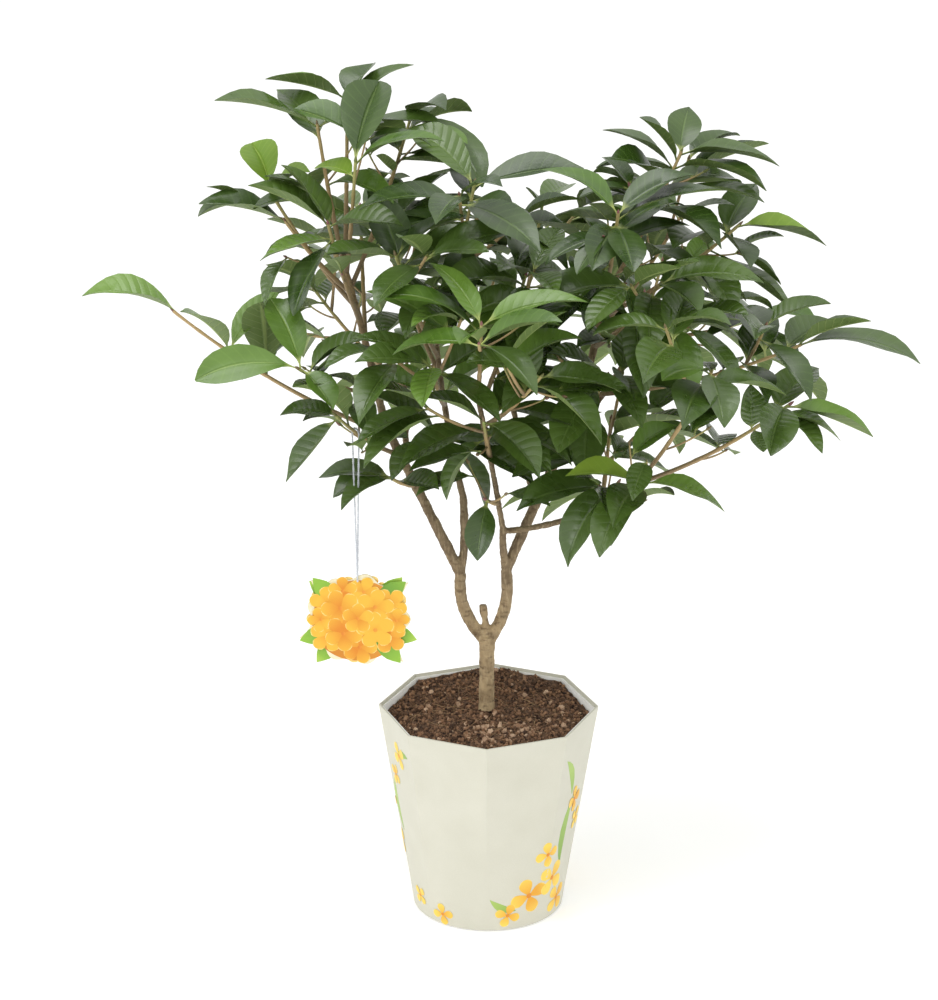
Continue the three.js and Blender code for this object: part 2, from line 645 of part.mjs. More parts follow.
// Whether a solid stays a gap away from all of some others.
function clearOf(solid, others, gap) {
  const box = solid.boundingBox();
  return others.every((other) => {
    const apart = [0, 1, 2].some(
      (i) => other.box.min[i] - gap > box.max[i] || other.box.max[i] + gap < box.min[i],
    );
    return apart || solid.minGap(other.solid, 2 * gap) >= gap;
  });
}

const boxed = (solid) => ({ solid, box: solid.boundingBox() });

// Whether a side shoot keeps off every limb and every other mass's twigs.
function shootHasRoom(solid, own, limbs, grown) {
  const others = grown.filter((one) => one.mass !== own).map((one) => one.whole);
  return clearOf(solid, limbs, LEAF_GAP) && clearOf(solid, others, LEAF_GAP);
}

// All the foliage: first every stem and shoot, then the leaves whose tips are given, then all others, a
// pair at a time all over the crown, each kept only where it is clear of what is already there.
function foliage(limbs, hung) {
  const masses = Object.entries(MASSES).map(([name, mass], i) => {
    const { stem, twigs } = twigsOf(mass, i + 1, limbs[mass.on]);
    limbs[mass.on].wood.push(spurOn(stem, SPUR_SIDES));
    return { name, twigs, pieces: [] };
  });
  const wood = [...Object.values(limbs).flatMap((limb) => limb.wood), ...hung].map(boxed);
  const grown = [];
  for (const mass of masses) {
    mass.twigs = mass.twigs.filter((twig, order) => {
      const solid = tube(twig.line, twig.from, 1, twig.radiusAt, TWIG_SIDES, TWIG_STEP);
      if (order > 0 && !shootHasRoom(solid, mass, wood, grown)) return false;
      mass.pieces.push(solid);
      grown.push({ mass, twig, whole: boxed(solid), blade: boxed(solid) });
      return true;
    });
  }
  const places = leafPlaces(masses);
  for (const place of places.filter(({ aimed }) => aimed)) growLeaf(place, wood, grown);
  for (const place of places.filter(({ aimed }) => !aimed)) growLeaf(place, wood, grown);
  return masses;
}

// Every leaf that could grow, the pairs nearest the tips first.
function leafPlaces(masses) {
  const places = [];
  for (let pair = 0; pair < STEM_PAIRS; pair++) {
    for (const mass of masses) {
      for (const twig of mass.twigs.filter((one) => pair < one.pairs)) {
        for (const side of [0, 1]) {
          const tip = twig.leaves[2 * pair + side];
          if (tip !== BARE) places.push({ mass, twig, pair, side, aimed: Boolean(tip) });
        }
      }
    }
  }
  return places;
}

function growLeaf({ mass, twig, pair, side }, wood, grown) {
  for (const attempt of TRIES) {
    const leaf = leafOf(twig, pair, side, attempt);
    const whole = leafSolid(leaf, 0);
    const blade = leafSolid(leaf, BLADE_START);
    const own = grown.filter((one) => one.mass === mass).map((one) => one.blade);
    const others = grown.filter((one) => one.mass !== mass).map((one) => one.whole);
    const fits = clearOf(whole, wood, LEAF_GAP) && clearOf(blade, own, LEAF_GAP);
    if (fits && clearOf(whole, others, LEAF_GAP)) {
      mass.pieces.push(whole);
      grown.push({ mass, whole: boxed(whole), blade: boxed(blade) });
      return;
    }
  }
}

// The tag's card: a scalloped oval of blossom with a leaf's point at each of its leaf angles.
function tagCard(hole) {
  const outline = [];
  for (let i = 0; i < TAG_POINTS; i++) {
    const angle = (i / TAG_POINTS) * 2 * Math.PI;
    const scallop = 1 + TAG_LOBE_DEPTH * Math.cos(TAG_LOBES * angle);
    const [wide, high] = TAG_BODY_RADII.map((radius) => radius * scallop);
    const body = new THREE.Vector2(wide * Math.cos(angle), high * Math.sin(angle));
    const reach = Math.max(body.length(), ...TAG_LEAF_ANGLES.map((at) => tagLeafReach(angle, radians(at))));
    outline.push(body.setLength(reach));
  }
  const shape = new THREE.Shape(outline);
  const opening = new THREE.Path().absarc(0, TAG_HOLE_HEIGHT, TAG_HOLE_RADIUS, 0, 2 * Math.PI, true);
  shape.holes.push(opening);
  const settings = { depth: TAG_THICKNESS, bevelEnabled: false, curveSegments: 6 };
  const geometry = new THREE.ExtrudeGeometry(shape, settings);
  geometry.rotateX(Math.PI / 2);
  geometry.translate(hole.x, hole.y + TAG_THICKNESS / 2, hole.z - TAG_HOLE_HEIGHT);
  return solidOf(geometry);
}

// How far out a leaf of the tag reaches at an angle: a point at its middle, nothing past its sides.
function tagLeafReach(angle, middle) {
  const off = Math.abs(Math.atan2(Math.sin(angle - middle), Math.cos(angle - middle)));
  const share = Math.max(0, 1 - off / radians(TAG_LEAF_HALF_ANGLE));
  return TAG_LEAF_REACH * Math.sqrt(share);
}

// A half circle of a string's stations, from one side over its middle to the other.
function stringArc(centre, aside, outward, radius) {
  const stations = [];
  for (let i = 0; i <= STRING_ARC_STEPS; i++) {
    const angle = (i / STRING_ARC_STEPS) * Math.PI;
    const out = aside.clone().multiplyScalar(Math.cos(angle)).addScaledVector(outward, Math.sin(angle));
    stations.push({ point: centre.clone().addScaledVector(out, radius), out });
  }
  return stations;
}

function stringStrand(from, to) {
  const stations = [];
  for (let i = 1; i < STRING_STRAND_STEPS; i++) {
    const share = i / STRING_STRAND_STEPS;
    const point = from.point.clone().lerp(to.point, share);
    stations.push({ point, out: from.out.clone().lerp(to.out, share).normalize() });
  }
  return stations;
}

// The loop of string: over the twig, down, and through the tag's hole from back to front.
function tagString(twigPoint, twigRadius, along, hole) {
  const levelLength = Math.hypot(along.x, along.y);
  const aside = new THREE.Vector3(along.y, -along.x, 0).divideScalar(levelLength);
  const topCentre = twigPoint.clone();
  topCentre.z += twigRadius / levelLength + STRING_CLEARANCE + STRING_RADIUS - STRING_TOP_SPREAD;
  const holeRadius = TAG_THICKNESS / 2 + STRING_CLEARANCE + STRING_RADIUS;
  const holeCentre = hole.clone();
  holeCentre.z += TAG_HOLE_RADIUS + TAG_THICKNESS / 2;
  const back = new THREE.Vector3(0, 1, 0);
  const top = stringArc(topCentre, aside, UP, STRING_TOP_SPREAD);
  const low = stringArc(holeCentre, back, UP.clone().negate(), holeRadius);
  const down = stringStrand(top.at(-1), low[0]);
  const up = stringStrand(low.at(-1), top[0]);
  return closedTube([...top, ...down, ...low, ...up], STRING_RADIUS);
}

// A closed tube through stations: a ring whose sections are carried round the loop.
function closedTube(stations, radius) {
  const count = stations.length;
  const geometry = new THREE.TorusGeometry(2, 1, STRING_SIDES, count);
  const position = geometry.getAttribute("position");
  for (let i = 0; i < position.count; i++) {
    const section = (i % (count + 1)) % count;
    const corner = Math.floor(i / (count + 1)) % STRING_SIDES;
    const before = stations[(section + count - 1) % count].point;
    const after = stations[(section + 1) % count].point;
    const along = after.clone().sub(before).normalize();
    const { point, out } = stations[section];
    const beside = new THREE.Vector3().crossVectors(along, out).normalize();
    const normal = new THREE.Vector3().crossVectors(beside, along);
    const angle = (corner / STRING_SIDES) * 2 * Math.PI;
    const place = point.clone().addScaledVector(normal, radius * Math.cos(angle));
    place.addScaledVector(beside, radius * Math.sin(angle));
    position.setXYZ(i, place.x, place.y, place.z);
  }
  return solidOf(geometry);
}

// The tag and its string, straight down from where the string hangs on its stem.
function hangingTag(limbs) {
  const mass = MASSES[TAG_ON];
  const { stem, twigs } = twigsOf(mass, 0, limbs[mass.on]);
  const twigPoint = pointOnTube(twigs[0], TAG_AT);
  const hole = twigPoint.clone().addScaledVector(UP, -STRING_LENGTH);
  const string = tagString(twigPoint, stem.radiusAt(TAG_AT), stem.line.getTangent(TAG_AT), hole);
  return { card: tagCard(hole), string };
}

const limbs = skeleton();
const tag = hangingTag(limbs);
const masses = foliage(limbs, [tag.card, tag.string]);

const card = new THREE.MeshStandardMaterial({ color: 0xe2dfd4, roughness: 0.8 });
const liner = new THREE.MeshStandardMaterial({ color: 0xc9c9c2, roughness: 0.6 });
const earth = new THREE.MeshStandardMaterial({ color: 0x3d281d, roughness: 1 });
const bark = new THREE.MeshStandardMaterial({ color: 0x8a7358, roughness: 0.9 });
const yellowCard = new THREE.MeshStandardMaterial({ color: 0xf0b83a, roughness: 0.6 });
const cotton = new THREE.MeshStandardMaterial({ color: 0xe4e4e4, roughness: 0.9 });
const leafGreen = new THREE.MeshStandardMaterial({ color: 0x234d20, roughness: 0.4 });

const osmanthus = new THREE.Group();
osmanthus.add(meshOf("pot_sleeve", potSleeve(), card));
osmanthus.add(meshOf("pot_liner", potLiner(), liner));
osmanthus.add(meshOf("soil", soil(), earth));
for (const [name, limb] of Object.entries(limbs)) osmanthus.add(meshOf(name, join(limb.wood), bark));
osmanthus.add(meshOf("tag_card", tag.card, yellowCard));
osmanthus.add(meshOf("tag_string", tag.string, cotton));
for (const mass of masses) osmanthus.add(meshOf(`foliage_${mass.name}`, join(mass.pieces), leafGreen));

export default osmanthus;
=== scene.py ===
import math
import random

import bpy
import numpy as np
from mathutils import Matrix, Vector, noise
from mathutils.bvhtree import BVHTree
from mathutils.kdtree import KDTree


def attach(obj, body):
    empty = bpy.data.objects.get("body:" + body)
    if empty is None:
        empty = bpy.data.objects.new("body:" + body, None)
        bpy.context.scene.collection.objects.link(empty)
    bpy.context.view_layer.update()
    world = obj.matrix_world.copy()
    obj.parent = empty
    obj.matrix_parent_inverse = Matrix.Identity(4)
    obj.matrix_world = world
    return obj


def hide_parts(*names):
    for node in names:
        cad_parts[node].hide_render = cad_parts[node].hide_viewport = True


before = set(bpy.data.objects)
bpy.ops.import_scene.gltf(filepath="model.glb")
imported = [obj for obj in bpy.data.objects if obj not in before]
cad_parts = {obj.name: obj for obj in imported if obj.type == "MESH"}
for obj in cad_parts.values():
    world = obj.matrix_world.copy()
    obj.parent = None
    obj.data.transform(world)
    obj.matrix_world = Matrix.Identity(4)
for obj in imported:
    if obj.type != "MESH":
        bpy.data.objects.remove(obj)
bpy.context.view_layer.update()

MM = 0.001

# Camera, fitted to the pot's rim, the fork and the tag
CAMERA_PLACE = (-16.3, -2207.7, 1127.9)
CAMERA_PITCH = 19.2  # degrees below level
CAMERA_LENS = 103.2  # mm on a sensor this wide:
CAMERA_SENSOR = 36

# Studio: lights by name, place, width and watts
STUDIO_LIGHTS = [
    ("top_softbox", (-300, -500, 2300), 1500, 16),
    ("left_softbox", (-1900, -1300, 1300), 1300, 9),
    ("right_softbox", (1900, -1100, 1200), 1300, 4),
]
LIGHT_AIM = (0, 0, 380)
SKY_STRENGTH = 0.9
FLOOR_GLOW = 0.25
FLOOR_WIDTH = 40000
FLOOR_DROP = 1

# Pot, as in the solids
POT_HEIGHT = 177.7
FOOT_RADIUS = 63.6
RIM_CORNER_RADIUS = 92
RIM_CORNERS = 8
RIM_TURN = -1.3  # degrees
CARD = 1.6  # thickness
GAP = 0.3
LINER_WALL = 1.8
LINER_FLOOR = 2.6
LINER_RIM_DROP = 2
LINER_FLOOR_INSET = 4
SAME_LEVEL = 0.01  # mm within which a vertex lies at a height
POT_SIDES = 96
POT_LEVELS = 12
RIM_ROUNDING = 0.5
RIM_ANGLE = 65  # degrees, from which an edge is rounded
POT_SMOOTHING = 24  # degrees, up to which an edge is shaded smooth

# Soil
SOIL_EDGE_HEIGHT = 168.6
SOIL_SHOULDER_HEIGHT = 171.4
SOIL_CROWN_HEIGHT = 173
SOIL_SHOULDER_SHARE = 0.7
SOIL_FLAT_SHARE = 0.17
SOIL_RINGS = 46
SOIL_LUMP = 1.7  # mm that the surface heaves
SOIL_LUMP_SPACING = 9
SOIL_LUMP_MIDDLE = 0.15  # level of the noise at which it neither heaves nor sinks
SOIL_LUMP_DETAIL = (1.0, 2.0, 3)  # of the noise: how fast it fades, how much finer each layer, how many
SOIL_ROUGHNESS = 0.9  # mm that it is rough besides
SOIL_FINENESS = 4.3  # times finer than the heaves
SOIL_BANK = 6.4  # mm that it lies higher against the back wall
SOIL_RIM_RISE = 1.6
SOIL_MOUND = 2.8  # mm round the trunk's foot
SOIL_MOUND_WIDTH = 17
STREWN_WITHIN = 88  # mm of the pot's axis, before the pot's own section is tested
LUMP_RISE = 0.3  # of a lump's size that its middle lies above the surface and out from the trunk
LUMP_ROWS = [(-0.8, 0.25), (-0.3, 0.6), (0.3, 0.6), (0.8, 0.2)]  # of its size: place, least radius
LUMP_SPREAD = 0.35  # of its size that a radius may be more
LUMP_BUMP = 0.3  # of its size that a corner may lie off its ring
LUMP_SIDES = 5
LUMP_DIP = 0.6  # how far down a lump may point, where up or to a side is 1
LUMP_SMOOTHING = 25  # degrees, up to which an edge is shaded smooth
CRUMBS = 5000
CRUMB_SIZES = (0.4, 2.1)
CRUMB_SEED = 11
BARK_CHIPS = 300
CHIP_SIZES = (0.45, 3)
CHIP_SEED = 12
CHIP_HEAP = (6, -42, 17)  # x, y and spread of the pale heap in front of the trunk
HEAPED_CHIPS = 0.4  # share of the chips that lie there
HEAP_DEPTH = 0.7  # of its spread to the sides
FIBRES = 110
FIBRE_SEED = 13
FIBRE_LENGTHS = (8, 26)
FIBRE_PLACES = (-0.5, -0.25, 0, 0.25, 0.5)  # of its length from its middle
FIBRE_RADII = [0.08, 0.17, 0.2, 0.16, 0.07]
FIBRE_SIDES = 4
FIBRE_BOW = 0.35
FIBRE_LIFT = 1.1  # mm that its middle lies above the soil at the least
FIBRE_LIFT_SPREAD = 0.7
FIBRE_FALL = 3  # its ends lie a quarter of this lower
FIBRES_WITHIN = 72  # mm of the pot's axis either way
FIBRE_CLEARANCE = 6  # mm from the trunk
FIBRE_LIMIT = 70  # mm from the axis that its end may reach

# Trunk
TRUNK_FOOT = (-1.7, 0, SOIL_CROWN_HEIGHT + GAP)
TRUNK_FORK = (-1.4, 0, 240)
TRUNK_RADIUS = 7.6
TRUNK_TOP_RADIUS = 7.2
TRUNK_FLARE = 3.4
TRUNK_FLARE_HEIGHT = 9
TRUNK_FLARE_LOSS = 2.6  # of the solid's flare that the soil hides
FORK_SWELLING = 1.6
FORK_SWELLING_POWER = 6  # the more, the nearer to the fork the swelling starts
STUB_START = 0.9  # of the trunk's height
STUB_TIP = (-4.9, -1, 268)
STUB_BOW = (1, 0, 0)
STUB_RADII = (5.6, 5.3, 4.6, 3.1, 2.6, 3.7, 3.1)

# Limbs and foliage masses, with the numbers of the solids
FREE = None  # a leaf that follows the rule
BARE = False  # a leaf that is left out
LIMBS = {
    "left_low_bough": dict(on="trunk", at=0.93, tip=[-23, -5, 296.5], bow=[-15, 0, -4], radii=[6.3, 5.6]),
    "right_low_bough": dict(on="trunk", at=0.93, tip=[14.1, 0, 298.1], bow=[13, 0, -7], radii=[6.2, 5.6]),
    "left_outer_bough": dict(
        on="left_low_bough", at=1, spur=24, tip=[-84, -5, 425],
        bow=[0, 0, 0], radii=[5.3, 4.3],
    ),
    "left_upper_bough": dict(
        on="left_outer_bough", at=1, tip=[-116, 0, 559],
        bow=[2, 0, 2], radii=[4.2, 2.9],
    ),
    "left_inner_bough": dict(
        on="left_low_bough", at=0.96, spur=20, tip=[-21.2, 6, 360],
        bow=[4, 0, -3], radii=[4.2, 3.8],
    ),
    "left_centre_bough": dict(
        on="left_inner_bough", at=1, tip=[-42, 0, 490],
        bow=[-5, 0, 3], radii=[3.3, 2.6],
    ),
    "right_main_bough": dict(
        on="right_low_bough", at=1, spur=18, tip=[69.7, 10, 424.3],
        bow=[-2, 0, -2], radii=[5.4, 4.2],
    ),
    "right_upper_bough": dict(
        on="right_main_bough", at=1, tip=[92.5, 10, 530],
        bow=[3, 0, 0], radii=[4.1, 2.9],
    ),
    "right_back_bough": dict(
        on="right_main_bough", at=0.8, spur=9, tip=[126, 66, 478],
        bow=[0, 4, -6], radii=[3.4, 2.7],
    ),
    "thin_bough": dict(
        on="right_low_bough", at=0.96, spur=12, tip=[11.4, -10, 337],
        bow=[-2, -2, 0], radii=[3.9, 3.5],
    ),
    "centre_bough": dict(on="thin_bough", at=1, tip=[-9.2, -60, 463], bow=[1, 4, 2], radii=[3, 2.5]),
    "side_bough": dict(on="thin_bough", at=0.97, tip=[120.4, -40, 388], bow=[6, 0, -17], radii=[3, 2.5]),
    "left_back_bough": dict(
        on="left_outer_bough", at=0.72, tip=[-70, 78, 432],
        bow=[0, 6, -8], radii=[3.3, 2.6],
    ),
    "middle_back_bough": dict(
        on="right_main_bough", at=0.45, tip=[16, 92, 432],
        bow=[0, 8, -8], radii=[3.3, 2.6],
    ),
}

MASSES = {
    "left_top_tall": dict(
        on="left_upper_bough", at=1, spur=10, tip=[-134, -15, 673], turn=185, shoots=0, pairs=2,
        leaves=[[-212, -25, 693], [-84, 20, 672], [-168, 34, 690], BARE],
    ),
    "left_top_front": dict(
        on="left_upper_bough", at=0.93, tip=[-103, -55, 652], turn=80, shoots=0, pairs=2,
        leaves=[[-86, -8, 705], [-35, -62, 669], [-136, -24, 640], BARE],
    ),
    "left_top_peak": dict(
        on="left_upper_bough", at=0.96, spur=14, tip=[-112, 26, 686], turn=90, shoots=0, pairs=2,
        leaves=[[-92, 50, 708], [-175, 10, 703], [-50, 24, 698], BARE],
    ),
    "left_top_back": dict(
        on="left_upper_bough", at=0.84, tip=[-62, 44, 668], turn=340, shoots=0,
        leaves=[[-6, -16, 623], [-34, -4, 681], [-14, 66, 666], [-92, 6, 648], BARE],
    ),
    "left_young": dict(
        on="left_upper_bough", at=0.72, spur=9, tip=[-175, 6, 618], turn=200, shoots=0, pairs=1,
        leaves=[[-190, 44, 645], [-140, -16, 635]],
    ),
    "left_upper_side": dict(
        on="left_upper_bough", at=0.8, tip=[-160, -20, 597], turn=180, shoots=0, pairs=1,
        leaves=[[-227, -22, 611], BARE],
    ),
    "left_middle": dict(
        on="left_upper_bough", at=0.64, tip=[-125, -50, 602], turn=195, shoots=1,
        leaves=[[-187, -36, 629], [-66, -76, 606], [-178, -56, 574], [-152, -70, 534]],
    ),
    "left_top_rear": dict(on="left_upper_bough", at=0.5, tip=[-106, 104, 578], turn=150, shoots=1),
    "left_whorl": dict(
        on="left_upper_bough", at=0.2, tip=[-148, -85, 496], turn=200, shoots=0, pairs=2,
        leaves=[[-168, -44, 546], [-226, -104, 492], BARE, [-92, -66, 514]],
    ),
    "far_left": dict(
        on="left_outer_bough", at=0.94, tip=[-249, -30, 527], turn=180, shoots=0, spacing=1.8,
        leaves=[[-320, -30, 539], BARE, BARE, BARE, [-250, -62, 541], [-172, -12, 542]],
    ),
    "left_low": dict(
        on="left_outer_bough", at=0.8, tip=[-121, -62, 451], turn=210, shoots=0, spacing=1.3,
        leaves=[[-160, -66, 398], [-165, -56, 449], [-152, -94, 484], BARE, BARE, BARE],
    ),
    "left_low_inner": dict(
        on="left_outer_bough", at=0.6, tip=[-79, -35, 390], turn=160, shoots=0, pairs=2,
        leaves=[[-140, -40, 393], [-126, -20, 368], BARE, [-40, -58, 388]],
    ),
    "left_rear": dict(on="left_back_bough", at=1, tip=[-146, 118, 505], turn=140, shoots=2, pairs=2),
    "left_rear_low": dict(on="left_back_bough", at=0.7, tip=[-76, 150, 430], turn=100, shoots=1),
    "crown_top": dict(
        on="left_centre_bough", at=1, tip=[-12, -30, 629], turn=10, shoots=2,
        leaves=[[-63, -2, 666], [72, -30, 641]],
    ),
    "crown_left": dict(
        on="left_centre_bough", at=0.92, tip=[-73, -60, 580], turn=100, shoots=1,
        leaves=[[-124, -90, 588], [-18, -62, 611], [-98, -30, 625]],
    ),
    "crown_left_back": dict(on="left_centre_bough", at=0.8, tip=[-84, 30, 572], turn=60, shoots=2),
    "middle_left_front": dict(
        on="left_centre_bough", at=0.6, tip=[-44, -104, 504], turn=170, shoots=2,
        leaves=[[-103, -122, 512], [0, -124, 470]],
    ),
    "inner_low": dict(
        on="left_centre_bough", at=0.36, tip=[-42, -25, 419], turn=180, shoots=0, pairs=2,
        leaves=[[-96, -28, 457], [2, -56, 404]],
    ),
    "front": dict(
        on="centre_bough", at=1, tip=[-7, -130, 544], turn=20, shoots=1,
        leaves=[[73, -122, 559], [-46, -96, 583], [-72, -152, 575]],
    ),
    "front_top": dict(on="centre_bough", at=0.93, tip=[28, -30, 556], turn=60, shoots=1),
    "front_right": dict(
        on="centre_bough", at=0.8, tip=[39, -115, 499], turn=330, shoots=1,
        leaves=[[0, -160, 494], [100, -112, 485], [12, -80, 536]],
    ),
    "front_low": dict(
        on="centre_bough", at=0.55, spur=9, tip=[-5, -72, 450], turn=330, shoots=1, pairs=2,
        leaves=[[38, -112, 416], FREE],
    ),
    "front_hanging": dict(
        on="centre_bough", at=0.2, tip=[-3, -36, 372], turn=260, shoots=0, pairs=1,
        leaves=[[-2, -66, 322], BARE],
    ),
    "middle_rear": dict(on="middle_back_bough", at=1, tip=[44, 104, 580], turn=80, shoots=2),
    "middle_rear_out": dict(
        on="middle_back_bough", at=0.8, spur=12, tip=[-16, 172, 492], turn=100, shoots=2,
    ),
    "right_top": dict(
        on="right_upper_bough", at=1, tip=[150, 0, 648], turn=15, shoots=0,
        leaves=[
            [158, 40, 675], [227, 0, 636], [88, 4, 664], [214, -34, 624], [90, -30, 640], [204, 40, 610],
        ],
    ),
    "right_top_front": dict(
        on="right_upper_bough", at=0.93, tip=[97, -80, 618], turn=250, shoots=0,
        leaves=[[156, -64, 644], [38, -66, 648], [107, -124, 583], [76, -120, 583]],
    ),
    "right_top_side": dict(
        on="right_upper_bough", at=0.82, tip=[200, 30, 582], turn=350, shoots=0,
        leaves=[[270, 28, 565], BARE, [228, 70, 600], [204, -30, 562]],
    ),
    "right_top_rear": dict(on="right_upper_bough", at=0.72, tip=[156, 74, 578], turn=20, shoots=1),
    "right_middle": dict(
        on="right_upper_bough", at=0.58, tip=[131, -70, 560], turn=340, shoots=2,
        leaves=[[211, -66, 559], [158, -124, 551]],
    ),
    "far_right": dict(
        on="right_upper_bough", at=0.2, tip=[249, -5, 492], turn=0, shoots=1,
        leaves=[[345, -5, 476], FREE, BARE, [278, 40, 500]],
    ),
    "right_rear": dict(
        on="right_back_bough", at=1, tip=[222, 90, 488], turn=20, shoots=0,
        leaves=[[272, 84, 486], [170, 112, 482]],
    ),
    "right_rear_out": dict(on="right_back_bough", at=0.8, tip=[136, 160, 474], turn=60, shoots=2),
    "right_low": dict(
        on="side_bough", at=1, tip=[236, -50, 456], turn=355, shoots=0,
        leaves=[[304, -46, 428], [216, -112, 434], [270, -74, 426], [266, 10, 468], BARE, BARE],
    ),
    "right_front": dict(
        on="side_bough", at=0.93, spur=9, tip=[168, -120, 504], turn=320, shoots=1, pairs=2,
        leaves=[[174, -172, 476], [114, -142, 500], [228, -100, 479]],
    ),
    "right_low_front": dict(
        on="side_bough", at=0.82, tip=[120, -90, 405], turn=300, shoots=0, pairs=2,
        leaves=[[58, -116, 419], [184, -88, 380], [94, -140, 385]],
    ),
    "right_low_inner": dict(
        on="side_bough", at=0.6, tip=[102, -60, 395], turn=270, shoots=0, pairs=2,
        leaves=[[62, -84, 332], BARE, [21, -84, 379], [43, -22, 349]],
    ),
    "right_centre": dict(on="right_main_bough", at=0.93, tip=[92, -50, 480], turn=310, shoots=1, pairs=2),
    "right_low_back": dict(on="side_bough", at=0.7, tip=[98, -6, 430], turn=30, shoots=2),
}

# Twigs, as in the solids
LENGTH_STEPS = 200
SPUR_LENGTH = 7
STEM_RADII = (2.7, 1.5)
TWIG_STEP = 34
STEM_SAG = 0.1
SHOOT_START = 0.78
SHOOT_STEP = 0.18
SHOOT_LENGTH = 58
SHOOT_LIFT = 0.18
SHOOT_SPREAD = 50
SHOOT_RADII = (1.8, 1.4)
GOLDEN_TURN = 137.5
SHOOT_START_SWAY = 0.06
SHOOT_LENGTH_SWAY = 0.2
SHOOT_SPREAD_SWAY = 8
SHOOT_TURN_SWAY = 20

# Leaves, as in the solids
LEAF_LENGTH = 83
LEAF_WIDTH_SHARE = 0.44
LEAF_DROOP = 60
LEAF_TILT = 14
LEAF_OUTWARD_ROLL = 30
LEAF_LENGTH_SWAY = 0.12
LEAF_DROOP_SWAY = 0.3
LEAF_TURN_SWAY = 13
LEAF_SPREAD_SWAY = 9
PAIRS = [
    dict(back=3, spread=38, size=0.76),
    dict(back=14, spread=58, size=0.96),
    dict(back=29, spread=74, size=1),
]
SHOOT_PAIRS = 2
STEM_PAIRS = 3
LOWEST_RISE = -12
HIGHEST_RISE = 52
TRIES = [(0, 0), (24, 10), (-24, -10), (46, 18), (-46, -18)]
OF_LENGTH, OF_SPREAD, OF_TURN, OF_DROOP, OF_ROLL, OF_START, OF_TONE, OF_WAVE = range(1, 9)
SAME_PLACE = 0.3  # mm within which a corner of a solid is a leaf's or a shoot's own tip

# Low leaves in front, which would hide the thin stems, swing to a side
SWUNG_LEFT, SWUNG_RIGHT, SWUNG_FRONT, SWUNG_LOW, SWUNG_TOP = -80, 62, -30, 395, 535  # mm
SWINGS = [(48, 14), (66, 10), (84, 6), (-60, 12), (-80, 8), (-100, 4), (34, 20)]
SWUNG_WITHIN = 62  # degrees either side of straight ahead

# Finer growth than the solids hold, within their reach
LEADER_EXTRA_BACK = (46, 64, 82)  # mm back from the tip of pairs lower on a stem
LEADER_EXTRA_SIZE = 0.9
LEADER_ROOM = 8  # mm from the foot of a stem to its lowest pair
FINE_SHOOTS = 4  # tried on each stem
FINE_SHOOTS_FROM, FINE_SHOOTS_TO = 0.1, 0.88  # of a stem's length
FINE_SHOOT_TURN = 60
FINE_SHOOT_LENGTH = 34
FINE_SHOOT_RADII = (1.1, 0.8)
FINE_SHOOT_ROOT = 0.12  # of its length that isn't tested against its stem
FINE_PAIR_BACKS = (2, 11)
FINE_LEAF_SIZE = 0.72
REACH = 16  # mm that a finer leaf's tip may be from the nearest leaf of the solids
REACH_SHARES = (0.4, 0.7, 1)  # of a leaf's length, the places that the reach is measured from
FINE_KEY = 100  # keys of the finer shoots' chances start here

# Finer leaves that the photo shows and the rule doesn't give: mass, mm back from its stem's tip, where
# the leaf ends
FILL_LEAVES = [
    ("left_top_peak", 22, (-34, 20, 674)), ("left_top_back", 34, (-27, 10, 635)),
    ("left_top_back", 28, (-91, 60, 660)), ("right_top", 8, (116, -10, 677)),
    ("right_top", 35, (213, -30, 614)), ("right_top", 48, (191, -50, 592)),
    ("right_top_front", 5, (176, -70, 644)), ("far_left", 48, (-167, -45, 547)),
    ("left_whorl", 6, (-121, -100, 467)), ("left_whorl", 16, (-96, -70, 520)),
    ("left_low_inner", 4, (-121, -50, 367)), ("inner_low", 10, (-2, -20, 357)),
    ("inner_low", 6, (-78, -45, 391)), ("front_low", 22, (48, -90, 412)),
    ("front_low", 26, (-34, -60, 380)), ("right_low", 32, (216, -60, 420)),
    ("right_low", 34, (206, -40, 470)), ("right_low", 10, (267, -70, 428)),
    ("left_middle", 8, (-161, -20, 639)), ("right_low_inner", 22, (10, -30, 362)),
    ("left_top_back", 46, (-90, 30, 638)),
]
FILL_STEPS = (0, 4, -3, 8, 12)  # mm further back on the stem that are tried
FILL_PAIR = 20  # the fill leaves' keys start at this pair
# and finer leaves that would close its gaps: mass, number of the shoot, number of the leaf
LEFT_OUT = {
    ("right_front", 0, 10), ("far_left", 102, 2), ("left_middle", 0, 7), ("crown_top", 104, 2),
    ("left_top_back", 0, 6), ("right_low_front", 101, 0), ("left_top_rear", 0, 8), ("left_low", 102, 3),
    ("left_top_tall", 104, 2), ("left_top_tall", 104, 3), ("left_middle", 102, 2), ("inner_low", 103, 2),
    ("right_front", 0, 11), ("far_left", 0, 10),
}

SKIN_SMOOTHING = 60  # degrees, up to which an edge of a leaf or a twig is shaded smooth

# Leaf outline: share of the length, half width on a pointed and on a rounded leaf as a share of the
# widest, and thickness
LEAF_ROWS = [
    (0.0, 0.06, 0.06, 1.4),
    (0.08, 0.06, 0.06, 1.2),
    (0.125, 0.2, 0.14, 0.8),
    (0.18, 0.47, 0.32, 0.6),
    (0.25, 0.72, 0.56, 0.6),
    (0.34, 0.92, 0.8, 0.6),
    (0.44, 1.0, 0.95, 0.6),
    (0.55, 0.98, 1.03, 0.6),
    (0.66, 0.86, 1.0, 0.6),
    (0.76, 0.65, 0.88, 0.55),
    (0.85, 0.39, 0.66, 0.5),
    (0.93, 0.16, 0.36, 0.4),
    (1.0, 0.02, 0.05, 0.3),
]
LEAF_RING = [(-1, 0), (-0.5, 1), (0, 1), (0.5, 1), (1, 0), (0, -1)]  # share of the half width, face
LEAF_SIDES = [0, 0, 0, 0, 1, 1]  # materials of a ring's faces: upper side, underside
